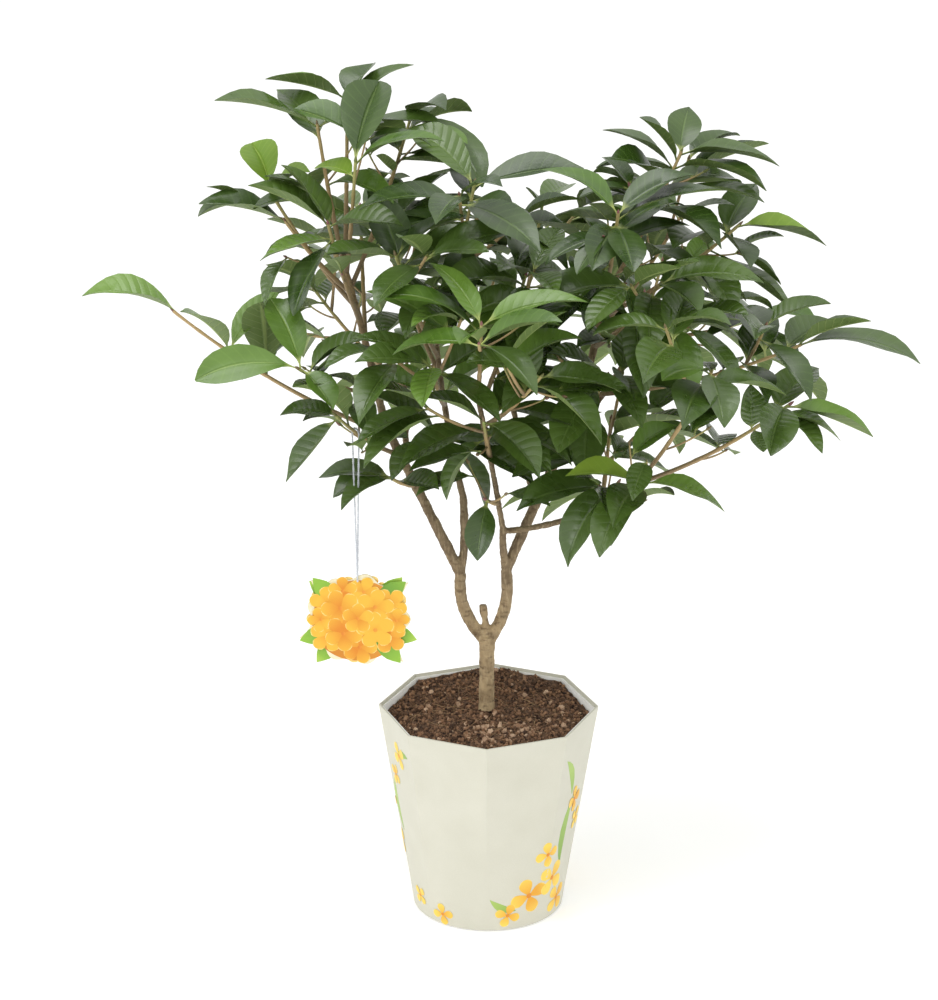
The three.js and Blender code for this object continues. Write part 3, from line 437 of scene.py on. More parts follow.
LEAF_POINTEDNESS = 1.5  # the more, the fewer of the leaves are blunt
LEAF_FOLD = 0.5  # how steeply each half rises from the midrib to the margin
LEAF_FOLD_SWAY = 0.4
LEAF_RISE = 1.2  # beside the midrib
LEAF_FLATTENING = 0.3  # towards the margin
LEAF_SINK = 0.4  # of the midrib under the blade
LEAF_WAVE = 0.1  # of the half width that the margin goes up and down
LEAF_WAVES = 1.3  # from the root to the tip
LEAF_TWIST = 22  # degrees from the root to the tip
LEAF_UNTWISTED = 0.3  # of the length, where the twist is nil
LEAF_SLIMNESS = 0.92  # of the solid's width
LEAF_LEVELLING = 0.55  # of the solid's roll, so that the upper faces look up more
# A leaf as a plain surface for the tests of room: share of the length and of the width
ROOM_ROWS = [(0.14, 0.2), (0.3, 0.85), (0.5, 1), (0.7, 0.8), (0.88, 0.35), (1, 0.02)]
ROOM_STEPS = 4  # and a limb as a plain tube
ROOM_SIDES = 4

# Leaves of the solids that the photo shows otherwise: mass, number of the shoot, number of the leaf. Turn,
# lift, roll and flat, which opens the arch, are in degrees. Size and slim are shares of the rule's, blunt
# stands for how round the tip is, and tone for how light the leaf is.
LEAF_CHANGES = {
    ("left_whorl", 0, 0): dict(roll=10, turn=8, size=0.93, blunt=1.3, tone=0.35),
    ("left_whorl", 0, 1): dict(roll=-69, slim=0.8, blunt=1.6, tone=0.45),
    ("left_top_front", 0, 0): dict(roll=36, slim=1.08, blunt=1.7, tone=0.25),
    ("left_top_front", 0, 1): dict(slim=0.75),
    ("left_top_peak", 0, 0): dict(slim=1.25, blunt=0.8),
    ("left_top_peak", 0, 2): dict(slim=0.6),
    ("left_young", 0, 0): dict(blunt=1.5, tone=0.1),
    ("left_young", 0, 1): dict(tone=0.1),
    ("far_left", 0, 0): dict(tone=1),
    ("far_left", 0, 4): dict(lift=-14, size=1.15, slim=0.62, roll=-50),
    ("far_left", 0, 5): dict(slim=0.8, roll=70),
    ("front", 0, 0): dict(slim=0.72, blunt=0.2, tone=0.7),
    ("front", 0, 1): dict(slim=0.78, blunt=0.2, tone=0.7),
    ("front", 0, 2): dict(slim=0.75, blunt=0.3),
    ("front", 0, 3): dict(slim=0.75, blunt=0.1),
    ("front_hanging", 0, 0): dict(size=0.86, turn=-16, tone=0.3),
    ("crown_top", 0, 1): dict(flat=3, slim=0.8),
    ("crown_top", 0, 0): dict(tone=1, blunt=1),
    ("left_low", 0, 0): dict(flat=12),
    ("right_top_side", 0, 5): dict(flat=9),
    ("right_top", 0, 4): dict(lift=8),
    ("right_low_front", 0, 1): dict(tone=0.85),
    ("middle_left_front", 0, 1): dict(turn=-12, size=0.85),
}
# leaves that are left out, because the thin stems or the sky show there
OPENED = {("front", 0, 4), ("front_right", 0, 5), ("front_right", 1, 2), ("front_low", 1, 3)}
# and one in front of the stems that the photo shows too, so it isn't swung aside
UNSWUNG = {("front_low", 0, 0)}

# Greens of the upper side: blade in the dark and in the light leaves, side veins, midrib, stalk; then its
# roughness and specular level. Old leaves are dark and waxy, new ones pale and softer in their gloss.
LEAF_GREENS = {
    "deep": ("#263E0F", "#526C29", "#5D7838", "#6F8845", "#A3AE62", 0.28, 0.9),
    "fresh": ("#3F5E1A", "#6E9038", "#74953F", "#8EA853", "#AEBB6A", 0.3, 0.8),
    "young": ("#688A22", "#94AF40", "#98B24A", "#AFC46A", "#B6C474", 0.4, 0.5),
}
# Single leaves whose green the photo shows, numbered in the same way
LEAF_KINDS = {
    "young": {
        ("left_young", 0, 0), ("left_young", 0, 1), ("left_top_front", 0, 2), ("right_low_front", 0, 0),
        ("right_top_side", 0, 0),
    },
    "fresh": {
        ("left_top_front", 0, 1), ("left_whorl", 0, 0), ("left_whorl", 0, 1), ("left_whorl", 0, 56),
        ("right_low", 0, 0), ("right_low_front", 0, 1), ("right_top_front", 0, 1), ("right_front", 0, 1),
    },
    "deep": {("left_top_peak", 0, 2), ("crown_top", 1, 3)},
}
# Share of fresh leaves by mass
FRESH_SPRAYS = {
    "far_left": 1, "front": 0.8, "middle_left_front": 0.5, "front_right": 0.35, "right_low_front": 0.3,
}
FRESH_ELSEWHERE = 0.07
# Painted light and shade by mass, drawing its leaves along their tones: below 0, painted shade towards the
# dark end, mostly high in the crown where the overhead light falls most; above 0, painted light towards the
# light end, mostly low and inside the crown where the leaves lie in shade
SPRAY_PAINTED_LIGHT = {
    "crown_top": -0.9, "left_top_front": -0.8, "left_top_back": -0.5, "left_top_peak": -0.3,
    "right_top_front": -0.8, "right_rear": -0.8, "right_rear_out": -0.6, "front": -0.5, "right_top": -0.3,
    "right_low": 0.8, "front_low": 0.8, "right_centre": 0.9, "front_right": 0.8, "front_top": 1,
    "middle_left_front": 0.6, "right_low_back": 0.7, "right_low_inner": 0.6, "inner_low": 0.9,
    "left_low_inner": 0.5, "left_top_tall": 0.5, "crown_left_back": 0.6, "right_front": 0.4,
    "right_middle": 0.4, "left_rear_low": 0.4, "left_low": 0.4,
}
# the tone that a mass's painted light draws its leaves to
PAINTED_LIGHT_TONE = 0.85
VEIN_PAIRS = 10  # side veins of each half from the root to the tip
VEIN_LEAN = 1.15  # how far the side veins run forward

# Wood
WOOD_STEP = 3
WOOD_NARROWING = 0.86  # of the solid's radius, because the bark's relief adds to it
WOOD_VOXEL = 0.85
WOOD_SMOOTHING = 4  # rounds
WOOD_RESOLUTION = 3
BARK_RELIEFS = ((9, 1.1), (3.2, 0.75))  # size and height of the bark's swellings
NODE_SPACING = 21  # mm between the rings where leaves once stood
NODE_SPACING_SWAY = 0.3
NODE_SWAY_RUN = 31  # mm of limb over which the spacing comes and goes
NODE_WIDTH = 2.2
NODE_SWELLING = 0.06
TWIG_SIDES = 7
TWIG_NARROWING = 0.78  # of the solid's radius
TWIG_ROW = 4
TWIG_NODE_WIDTH = 2.5
TWIG_NODE_SWELLING = 0.22
BUD_ROWS = [(0, 0.75), (0.2, 1.0), (0.55, 0.8), (0.85, 0.4), (1, 0.08)]  # share of the length, radius
BUD_SIZES = (0.7, 1.2)
BUD_LENGTH = 5.2
BUD_RADIUS = 1.35
BUD_SIDES = 6
BUD_DEPTH = 0.6  # mm that it starts inside its twig

# Printed shapes: share of the length, half width as a share of the widest
INK = 0.12  # mm that a printed shape stands proud, so that it shows
INK_STEP = 0.006  # mm between printed shapes that overlap
PRINT_RING = [(-1, 1), (-0.5, 1), (0, 1), (0.5, 1), (1, 1), (1, -1), (-1, -1)]
PETAL_ROWS = [(0.06, 0.14), (0.25, 0.5), (0.45, 0.84), (0.65, 1.0), (0.82, 0.92), (0.94, 0.6), (1.0, 0.2)]
BLADE_ROWS = [(0, 0.1), (0.12, 0.5), (0.3, 0.85), (0.5, 1.0), (0.7, 0.8), (0.87, 0.4), (1, 0.03)]
DISC_ROWS = [(0, 0.1), (0.1, 0.6), (0.3, 0.92), (0.5, 1), (0.7, 0.92), (0.9, 0.6), (1, 0.1)]
GROUND_ROWS = [(i / 20, max(0.02, math.sqrt(1 - (i / 10 - 1) ** 2))) for i in range(21)]
PRINT_SMOOTHING = 30  # degrees, up to which an edge is shaded smooth
PETAL_SHADE_SWAY = 0.35

# Print on the sleeve: blossoms by degrees round from the front, height, size and turn
SLEEVE_BLOSSOMS = [
    (30, 30, 17, 20), (50, 40, 16, 55), (42, 66, 12, 10), (60, 16, 14, 40), (14, 14, 11, 70),
    (-66, 146, 12, 30), (-78, 122, 10, 65), (-36, 10, 10, 10), (-60, 18, 9, 50), (70, 104, 12, 5),
    (78, 82, 10, 50), (-92, 56, 14, 35), (-108, 40, 13, 70), (-96, 90, 10, 0), (130, 34, 17, 15),
    (150, 50, 15, 60), (112, 22, 12, 35), (168, 142, 12, 20), (186, 124, 10, 55), (216, 26, 15, 30),
    (234, 46, 13, 70), (200, 12, 10, 5), (100, 142, 12, 40),
]
SLEEVE_PETALS = 4
SLEEVE_FULLNESS = 2.9  # a petal's width as a share of its length, times the number of petals
SLEEVE_HEART = 0.14  # of a blossom's size
# and leaf blades: degrees, height, length, width, turn, bend
SLEEVE_BLADES = [
    (58, 50, 62, 11, 78, 7), (64, 112, 44, 9, 118, -5), (20, 18, 26, 7, 150, 3),
    (-52, 152, 30, 7, 200, -3), (-78, 70, 46, 10, 100, 6), (-104, 34, 30, 8, 160, 3),
    (140, 56, 58, 11, 84, 7), (120, 34, 28, 8, 150, 3), (176, 120, 36, 8, 250, 4),
    (222, 48, 50, 10, 96, -6), (104, 138, 30, 8, 230, 3),
]

# Tag
TAG_ON = "left_low"
TAG_AT = 0.7
TAG_THICKNESS = 1.2
TAG_HOLE_RADIUS = 2.3
TAG_HOLE_HEIGHT = 32
STRING_RADIUS = 0.6
STRING_LENGTH = 128
STRING_TOP_SPREAD = 3.6
STRING_CLEARANCE = 0.5
STRING_SETTLING = 0.9  # mm that the loop sits lower on the slimmer twig
STRING_BEND_STEPS = 16
STRING_FALL_STEPS = 90
PLY_RADIUS = 0.52
PLY_TURN = 3.4  # mm of string for one turn of its two plies
PLY_SIDES = 5
OFF_PLY = Vector((0.3, 0.9, 0.1))  # a direction that the string nowhere takes
TAG_GROUND = (76, 70)  # width and height of the printed ground under the blossoms
TAG_GROUND_DROP = 1
TAG_GROUND_TONE = 0.3
TAG_LEAVES = [(40, 20, 31), (135, 20, 31), (201, 20, 31), (312, 20, 31)]  # angle, foot and length
TAG_LEAF_WIDTH = 16
TAG_LEAF_BEND = 1
TAG_LEAF_ROWS = [(0, 0.5), (0.3, 0.85), (0.5, 1.0), (0.68, 0.86), (0.82, 0.55), (0.92, 0.27), (1, 0.02)]
TAG_PETALS = 5
TAG_FULLNESS = 3.9
TAG_HEART = 0.11
# Blossoms of the tag from the lowest to the topmost: x, y, size, turn and tone
TAG_BLOSSOMS = [
    (-25, 14, 14.5, 20, 0.9), (26, 13, 14.5, 50, 0.7), (-25, -14, 14.5, 10, 0.75), (25, -15, 14.5, 30, 0.25),
    (1, -24, 14.5, 0, 0.1), (5, 24, 13, 70, 0.8), (-12, 25, 12, 20, 0.3), (-30, 0, 11, 40, 0.5),
    (31, -1, 11, 10, 0.5), (-14, 10, 16, 40, 0.35), (14, 11, 15.5, 5, 0.6), (-12, -12, 15.5, 60, 0.15),
    (14, -9, 16, 25, 0.85), (0, 1, 13, 15, 0.5),
]
# Heights of the printed shapes above the card, and the steps from one blossom to the next
TAG_LEAF_LEVEL = INK * 0.7
TAG_BLOSSOM_LEVEL = INK * 1.2
SLEEVE_BLOSSOM_STEP = 5 * INK_STEP
TAG_BLOSSOM_STEP = 6 * INK_STEP

# Offset inks: name, colour at a shape's foot, at its tip and on its margin, and where the margin starts
INKS = {
    "sleeve_print_petals": ("yellow_offset_ink", "#E8A52C", "#F6D257", "#F9E08A", 0.8),
    "sleeve_print_hearts": ("orange_offset_ink", "#D9801F", "#E08E2B", "#E08E2B", 0.8),
    "sleeve_print_blades": ("green_offset_ink", "#7FA544", "#A8C463", "#8FB04E", 0.8),
    "tag_print_ground": ("tag_deep_yellow_ink", "#C97A1A", "#DA922A", "#DA922A", 2),
    "tag_print_petals": ("tag_yellow_ink", "#DD861A", "#EDB737", "#FBE08E", 0.78),
    "tag_print_hearts": ("tag_orange_ink", "#D8791C", "#E89A30", "#E89A30", 0.8),
    "tag_print_leaves": ("tag_green_ink", "#3F7A26", "#8DB93A", "#A9C94F", 0.92),
}

UP = Vector((0, 0, 1))


def chance(*keys):
    """A number from 0 to 1 that depends only on its keys, the same as in the solids."""
    whole = 0xFFFFFFFF
    mixed = 0x9E3779B9
    for key in keys:
        mixed = ((mixed ^ key) * 0x85EBCA6B) & whole
        mixed = ((mixed ^ (mixed >> 13)) * 0xC2B2AE35) & whole
        mixed ^= mixed >> 16
    return mixed / (whole + 1)


def sway(*keys):
    """A number from -1 to 1 that depends only on its keys."""
    return 2 * chance(*keys) - 1


def lerp(start, end, share):
    """A share of the way from a start to an end."""
    return start + (end - start) * share


class Limb:
    """A tapering limb: its bowed middle line, where its own wood begins, and its radii."""

    def __init__(self, start, tip, bow, radii, begin=0.0):
        self.start, self.tip = Vector(start), Vector(tip)
        self.middle = (self.start + self.tip) / 2 + Vector(bow)
        self.radii = radii
        stations = [self.point(i / LENGTH_STEPS) for i in range(LENGTH_STEPS + 1)]
        self.length = sum((b - a).length for a, b in zip(stations, stations[1:]))
        self.begin = begin

    def point(self, share):
        rest = 1 - share
        return rest * rest * self.start + 2 * rest * share * self.middle + share * share * self.tip

    def tangent(self, share):
        ahead = (1 - share) * (self.middle - self.start) + share * (self.tip - self.middle)
        return ahead.normalized()

    def radius(self, share):
        return lerp(self.radii[0], self.radii[1], share)


class Trunk(Limb):
    """The trunk, with a flare at its foot and a swelling under the fork."""

    def radius(self, share):
        height = share * (TRUNK_FORK[2] - TRUNK_FOOT[2])
        flare = TRUNK_FLARE * math.exp(-height / TRUNK_FLARE_HEIGHT)
        swelling = FORK_SWELLING * share**FORK_SWELLING_POWER
        return lerp(TRUNK_RADIUS, TRUNK_TOP_RADIUS, share) + flare + swelling


def limb_on(parent, at, tip, bow, radii, spur):
    """A limb from a place on its parent. Its own wood begins beyond the solid's spur and the gap."""
    limb = Limb(parent.point(at), tip, bow, radii)
    spur_end = (parent.radius(at) + spur if at < 1 else spur) / limb.length
    limb.begin = spur_end + GAP / limb.length
    return limb


def grow_limbs():
    """The trunk and the boughs, each on the one that carries it."""
    limbs = {"trunk": Trunk(TRUNK_FOOT, TRUNK_FORK, (0, 0, 0), (TRUNK_RADIUS, TRUNK_TOP_RADIUS))}
    for name, row in LIMBS.items():
        limbs[name] = limb_on(limbs[row["on"]], *[row[key] for key in ("at", "tip", "bow", "radii")],
                              row.get("spur", SPUR_LENGTH))
    return limbs


def axes_around(along):
    """Two directions square to a direction that doesn't point straight down."""
    x, y, z = along
    k = 1 / (1 + z)
    return Vector((1 - k * x * x, -k * x * y, -x)), Vector((-k * x * y, 1 - k * y * y, -y))


def heading_off(along, turn, spread):
    """A direction that is turned round another one, in radians, and opened off it."""
    across, beside = axes_around(along)
    outward = across * math.cos(turn) + beside * math.sin(turn)
    return along * math.cos(spread) + outward * math.sin(spread)


class Twig:
    """A leafy twig: its limb, where it starts, the key of its chances, and how its leaves stand."""

    def __init__(self, mass, limb, begin, seed, turn, pairs, spacing=1, leaves=(), length=None):
        self.mass, self.limb, self.begin, self.seed = mass, limb, begin, seed
        self.turn, self.pairs, self.spacing = turn, pairs, spacing
        self.leaves = list(leaves) + [FREE] * (2 * STEM_PAIRS - len(leaves))
        self.length = length or limb.length

    def middle(self, share):
        """A point in the middle of the solid's tube, which runs straight from station to station."""
        line = self.limb
        steps = max(1, math.floor((line.point(self.begin) - line.point(1)).length / TWIG_STEP + 0.5))
        whole = (share - self.begin) / (1 - self.begin) * steps
        before = min(math.floor(whole), steps - 1)
        start, end = [line.point(lerp(self.begin, 1, i / steps)) for i in (before, before + 1)]
        return start.lerp(end, whole - before)


def side_shoot(mass, stem, turn_of_mass, seed, order, length=SHOOT_LENGTH, radii=SHOOT_RADII, start=None):
    """A side shoot of a stem, by the rule of the solids."""
    at = SHOOT_START - SHOOT_STEP * (order - 1) if start is None else start
    at += SHOOT_START_SWAY * sway(*seed, OF_START)
    turn = math.radians(turn_of_mass + 90 + order * GOLDEN_TURN + SHOOT_TURN_SWAY * sway(*seed, OF_TURN))
    spread = math.radians(SHOOT_SPREAD + SHOOT_SPREAD_SWAY * sway(*seed, OF_SPREAD))
    length *= 1 + SHOOT_LENGTH_SWAY * sway(*seed, OF_LENGTH)
    root = stem.point(at)
    tip = root + heading_off(stem.tangent(at), turn, spread) * length + UP * SHOOT_LIFT * length
    limb = Limb(root, tip, (0, 0, -STEM_SAG * length), radii)
    return Twig(mass, limb, 0, seed, math.degrees(turn), SHOOT_PAIRS, length=length)


class Leaf:
    """A leaf: its root, its heading on the ground plan, and its rise, droop and roll, in radians."""

    def __init__(self, root, heading, rise, droop, roll, length, width, key):
        self.root, self.heading, self.rise, self.droop = root, heading, rise, droop
        self.roll, self.length, self.width, self.key = roll, length, width, key

    def point(self, share, aside=0.0, above=0.0, roll=0.0):
        """A point a share of the way along the arching midrib, then out to the side and up."""
        rise = self.rise - self.droop * share
        reach = self.length / self.droop * (math.sin(self.rise) - math.sin(rise))
        height = self.length / self.droop * (math.cos(rise) - math.cos(self.rise))
        cos, sin = math.cos(self.heading), math.sin(self.heading)
        turn = self.roll + roll
        out = aside * math.cos(turn) - above * math.sin(turn)
        up = aside * math.sin(turn) + above * math.cos(turn)
        sideways = Vector((-sin, cos, 0))
        normal = Vector((-math.sin(rise) * cos, -math.sin(rise) * sin, math.cos(rise)))
        return self.root + Vector((reach * cos, reach * sin, height)) + sideways * out + normal * up

    def turned(self, turn, lift):
        """The same leaf, swung sideways and lifted by degrees."""
        heading, rise = self.heading + math.radians(turn), self.rise + math.radians(lift)
        swung = Leaf(self.root, heading, rise, self.droop, self.roll, self.length, self.width, self.key)
        swung.mass = self.mass
        return swung


def outward_roll(root, heading):
    """How far a leaf's upper face turns out from the middle of the plant."""
    across = heading.y * root.x - heading.x * root.y
    return math.radians(LEAF_OUTWARD_ROLL) * across / heading.xy.length / root.xy.length


def leaf_on(twig, pair, side, turn=0, lift=0, back=None, size=None, aim=FREE):
    """The leaf of a pair on a twig, by the rule of the solids. A leaf with an aim ends at that point."""
    row = PAIRS[min(pair, STEM_PAIRS - 1)]
    key = [*twig.seed, 2 * pair + side]
    at = 1 - (row["back"] if back is None else back) * twig.spacing / twig.length
    root = twig.middle(at)
    droop = math.radians(LEAF_DROOP * (1 + LEAF_DROOP_SWAY * sway(*key, OF_DROOP)))
    tilt = math.radians(LEAF_TILT * sway(*key, OF_ROLL))
    if aim:
        reach = Vector(aim) - root
        length = reach.length * droop / 2 / math.sin(droop / 2)
        heading = math.atan2(reach.y, reach.x) + math.radians(turn / 2)
        rise = math.asin(reach.z / reach.length) + droop / 2 + math.radians(lift / 2)
        width = LEAF_WIDTH_SHARE * (length + LEAF_LENGTH) / 2
        return Leaf(root, heading, rise, droop, tilt + outward_roll(root, reach), length, width, key)
    turned = twig.turn + 90 * pair + 180 * side + LEAF_TURN_SWAY * sway(*key, OF_TURN) + turn
    spread = row["spread"] + LEAF_SPREAD_SWAY * sway(*key, OF_SPREAD)
    heading = heading_off(twig.limb.tangent(at), math.radians(turned), math.radians(spread))
    rise = math.degrees(math.asin(max(-1, min(1, heading.z)))) + lift
    rise = math.radians(max(LOWEST_RISE, min(HIGHEST_RISE, rise)))
    length = LEAF_LENGTH * (size or row["size"]) * (1 + LEAF_LENGTH_SWAY * sway(*key, OF_LENGTH))
    roll = tilt + outward_roll(root, heading)
    level = math.atan2(heading.y, heading.x)
    return Leaf(root, level, rise, droop, roll, length, LEAF_WIDTH_SHARE * length, key)


class Corners:
    """The corners of a mass's solid, to find which of the rule's leaves and shoots it holds."""

    def __init__(self, name):
        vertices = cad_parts[f"foliage_{name}"].data.vertices
        self.tree = KDTree(len(vertices))
        for vertex in vertices:
            self.tree.insert(vertex.co / MM, vertex.index)
        self.tree.balance()

    def has(self, point):
        return self.tree.find(point)[2] < SAME_PLACE


def shoot_is_in(corners, shoot):
    """Whether a mass's solid holds a shoot: its tip's ring has three corners."""
    across, beside = axes_around(shoot.limb.tangent(1))
    for i in range(3):
        turn = i * math.tau / 3
        out = across * math.sin(turn) - beside * math.cos(turn)
        if corners.has(shoot.limb.tip + SHOOT_RADII[1] * out):
            return True
    return False


def stem_of(mass, limbs):
    """The stem that carries a mass, on its bough."""
    row = MASSES[mass]
    parent = limbs[row["on"]]
    sag = -STEM_SAG * (parent.point(row["at"]) - Vector(row["tip"])).length
    spur = row.get("spur", SPUR_LENGTH)
    return limb_on(parent, row["at"], row["tip"], (0, 0, sag), STEM_RADII, spur)


def twigs_of_solids(limbs):
    """Every mass's stem, and those of its side shoots that its solid holds."""
    twigs = []
    for seed, (name, row) in enumerate(MASSES.items(), 1):
        stem = stem_of(name, limbs)
        pairs, spacing = row.get("pairs", STEM_PAIRS), row.get("spacing", 1)
        aims = row.get("leaves", ())
        twigs.append(Twig(name, stem, stem.begin, [seed, 0], row["turn"], pairs, spacing, aims))
        corners = Corners(name)
        for order in range(1, row["shoots"] + 1):
            shoot = side_shoot(name, stem, row["turn"], [seed, order], order)
            if shoot_is_in(corners, shoot):
                twigs.append(shoot)
    return twigs


def leaves_of_solids(twigs):
    """The leaves that the solids hold, each at the try that its solid shows."""
    leaves = []
    corners = {name: Corners(name) for name in MASSES}
    for twig in twigs:
        for pair in range(twig.pairs):
            for side in (0, 1):
                aim = twig.leaves[2 * pair + side]
                if aim is BARE:
                    continue
                for turn, lift in TRIES:
                    leaf = leaf_on(twig, pair, side, turn, lift, aim=aim)
                    if corners[twig.mass].has(leaf.point(1)):
                        leaf.mass = twig.mass
                        leaves.append(leaf)
                        break
    return leaves


def number_of(leaf):
    """The leaf's mass, the number of its shoot and its own number."""
    return (leaf.mass, *leaf.key[1:])


def reshaped(leaves):
    """The leaves of the solids, less those left out, with the changes that the photo shows."""
    kept = [leaf for leaf in leaves if number_of(leaf) not in OPENED]
    for leaf in kept:
        change = LEAF_CHANGES.get(number_of(leaf), {})
        leaf.heading += math.radians(change.get("turn", 0))
        leaf.rise += math.radians(change.get("lift", 0))
        leaf.roll += math.radians(change.get("roll", 0))
        leaf.rise -= math.radians(change.get("flat", 0))
        leaf.droop -= 2 * math.radians(change.get("flat", 0))
        leaf.length *= change.get("size", 1)
        leaf.width *= change.get("size", 1) * change.get("slim", 1)
    return kept


def touches(one, other):
    """Whether two surfaces meet. Boxes that lie apart settle most cases."""
    apart = any(one[1][axis] > other[2][axis] or one[2][axis] < other[1][axis] for axis in range(3))
    return not apart and bool(one[0].overlap(other[0]))


def tree_of_leaf(leaf):
    """A leaf as a plain surface for the tests of room, with the corners of its box."""
    points, faces = [], []
    for share, width in ROOM_ROWS:
        points += [leaf.point(share, side * leaf.width / 2 * width) for side in (-1, 0, 1)]
    for row in range(len(ROOM_ROWS) - 1):
        for side in (0, 1):
            a = 3 * row + side
            faces += [(a, a + 1, a + 4), (a, a + 4, a + 3)]
    low = [min(point[axis] for point in points) for axis in range(3)]
    high = [max(point[axis] for point in points) for axis in range(3)]
    return BVHTree.FromPolygons(points, faces), low, high


def tree_of_tube(limb, begin):
    """A limb as a plain tube for the tests of room, with the corners of its box."""
    shares = [lerp(begin, 1, i / ROOM_STEPS) for i in range(ROOM_STEPS + 1)]
    points = [limb.point(share) for share in shares]
    radii = [limb.radius(share) for share in shares]
    corners = tube_skin(points, radii, ROOM_SIDES).reshape(-1, 3)
    faces = ring_faces(ROOM_STEPS + 1, ROOM_SIDES)
    tree = BVHTree.FromPolygons([Vector(corner) for corner in corners], faces)
    return tree, corners.min(0).tolist(), corners.max(0).tolist()


def hangs_in_front(leaf):
    """Whether a low leaf in front of the thin stems heads for the viewer."""
    if number_of(leaf) in UNSWUNG:
        return False
    place = leaf.point(0.5)
    near = SWUNG_LEFT < place.x < SWUNG_RIGHT and place.y < SWUNG_FRONT and SWUNG_LOW < place.z < SWUNG_TOP
    off = math.degrees(leaf.heading) + 90
    return near and abs((off + 180) % 360 - 180) < SWUNG_WITHIN


def swing_aside(leaves):
    """The leaves again, with those that hang in front swung to a side where there is room."""
    trees = [tree_of_leaf(leaf) for leaf in leaves]
    for i, leaf in enumerate(leaves):
        if not hangs_in_front(leaf):
            continue
        off = (math.degrees(leaf.heading) + 270) % 360 - 180
        side = 1 if off > 0 else -1
        for turn, lift in SWINGS:
            swung = leaf.turned(side * turn, lift)
            tree = tree_of_leaf(swung)
            if not any(touches(tree, other) for j, other in enumerate(trees) if j != i):
                leaves[i], trees[i] = swung, tree
                break
    return leaves


class Growth:
    """Finer growth as it is added: the leaves and wood that it must not touch, and how far it may reach."""

    def __init__(self, limbs, twigs, leaves):
        self.taken = [tree_of_leaf(leaf) for leaf in leaves]
        self.wood = [tree_of_tube(limb, 0) for limb in limbs.values()]
        self.wood += [tree_of_tube(twig.limb, twig.begin) for twig in twigs]
        self.places = KDTree(len(leaves) * len(REACH_SHARES))
        for leaf in leaves:
            for share in REACH_SHARES:
                self.places.insert(leaf.point(share), 0)
        self.places.balance()
        self.leaves, self.twigs = [], []

    def has_room(self, tree):
        """Whether a surface touches nothing that is there."""
        return not any(touches(tree, other) for other in self.taken + self.wood)

    def try_leaf(self, twig, pair, side, back, size=None, aim=FREE):
        """Adds a leaf at the first try that has room within the reach, and tells whether there was one."""
        if (twig.mass, twig.seed[1], 2 * pair + side) in LEFT_OUT:
            return False
        for turn, lift in TRIES:
            leaf = leaf_on(twig, pair, side, turn, lift, back=back, size=size, aim=aim)
            leaf.mass = twig.mass
            if not aim and (self.places.find(leaf.point(1))[2] > REACH or hangs_in_front(leaf)):
                continue
            tree = tree_of_leaf(leaf)
            if self.has_room(tree):
                self.taken.append(tree)
                self.leaves.append(leaf)
                return True
        return False

    def fill(self, stems):
        """The leaves that the photo shows and the rule doesn't give."""
        for i, (mass, back, aim) in enumerate(FILL_LEAVES):
            for step in FILL_STEPS:
                if self.try_leaf(stems[mass], FILL_PAIR + i, 0, back + step, aim=aim):
                    break

    def add_low_pairs(self, stem):
        """Pairs of leaves lower on a stem than the solid's."""
        for i, back in enumerate(LEADER_EXTRA_BACK):
            if back < stem.length * (1 - stem.begin) - LEADER_ROOM:
                for side in (0, 1):
                    self.try_leaf(stem, STEM_PAIRS + i, side, back, LEADER_EXTRA_SIZE)

    def add_shoots(self, stem):
        """Short shoots along a stem, each kept if one of its leaves has room."""
        for order in range(1, FINE_SHOOTS + 1):
            seed = [stem.seed[0], FINE_KEY + order]
            share = (order - 0.5) / FINE_SHOOTS
            start = lerp(stem.begin + FINE_SHOOTS_FROM, FINE_SHOOTS_TO, share)
            shoot = side_shoot(stem.mass, stem.limb, stem.turn + FINE_SHOOT_TURN, seed, order,
                               FINE_SHOOT_LENGTH, FINE_SHOOT_RADII, start)
            tree = tree_of_tube(shoot.limb, FINE_SHOOT_ROOT)
            if not self.has_room(tree):
                continue
            grown = [
                self.try_leaf(shoot, pair, side, back, FINE_LEAF_SIZE * PAIRS[pair]["size"])
                for pair, back in enumerate(FINE_PAIR_BACKS)
                for side in (0, 1)
            ]
            if any(grown):
                self.wood.append(tree)
                self.twigs.append(shoot)


def finer_growth(limbs, twigs, leaves):
    """Lower pairs and fine shoots between those of the solids, kept where there is room for them."""
    growth = Growth(limbs, twigs, leaves)
    stems = {twig.mass: twig for twig in twigs if twig.seed[1] == 0}
    growth.fill(stems)
    for stem in stems.values():
        growth.add_low_pairs(stem)
    for stem in stems.values():
        growth.add_shoots(stem)
    return growth.twigs, growth.leaves


def clear_selection():
    """Nothing selected and nothing active."""
    for piece in bpy.context.selected_objects:
        piece.select_set(False)
    bpy.context.view_layer.objects.active = None


def select_only(piece):
    """One piece selected and active."""
    clear_selection()
    piece.select_set(True)
    bpy.context.view_layer.objects.active = piece


def finish_with(piece, kind, **settings):
    """Adds a modifier, sets it and applies it."""
    select_only(piece)
    modifier = piece.modifiers.new(kind.lower(), kind)
    for name, value in settings.items():
        setattr(modifier, name, value)
    bpy.ops.object.modifier_apply(modifier=modifier.name)


class Skin:
    """A closed skin of rings, with how far along and out to the side each corner lies, and its tone."""

    def __init__(self, points, along=None, aside=None, tone=0.5):
        self.points = np.array(points)
        rows, corners = self.points.shape[:2]
        self.along = np.repeat(np.linspace(0, 1, rows) if along is None else along, corners)
        self.aside = np.tile(np.zeros(corners) if aside is None else aside, rows)
        self.tone = np.full(rows * corners, tone)


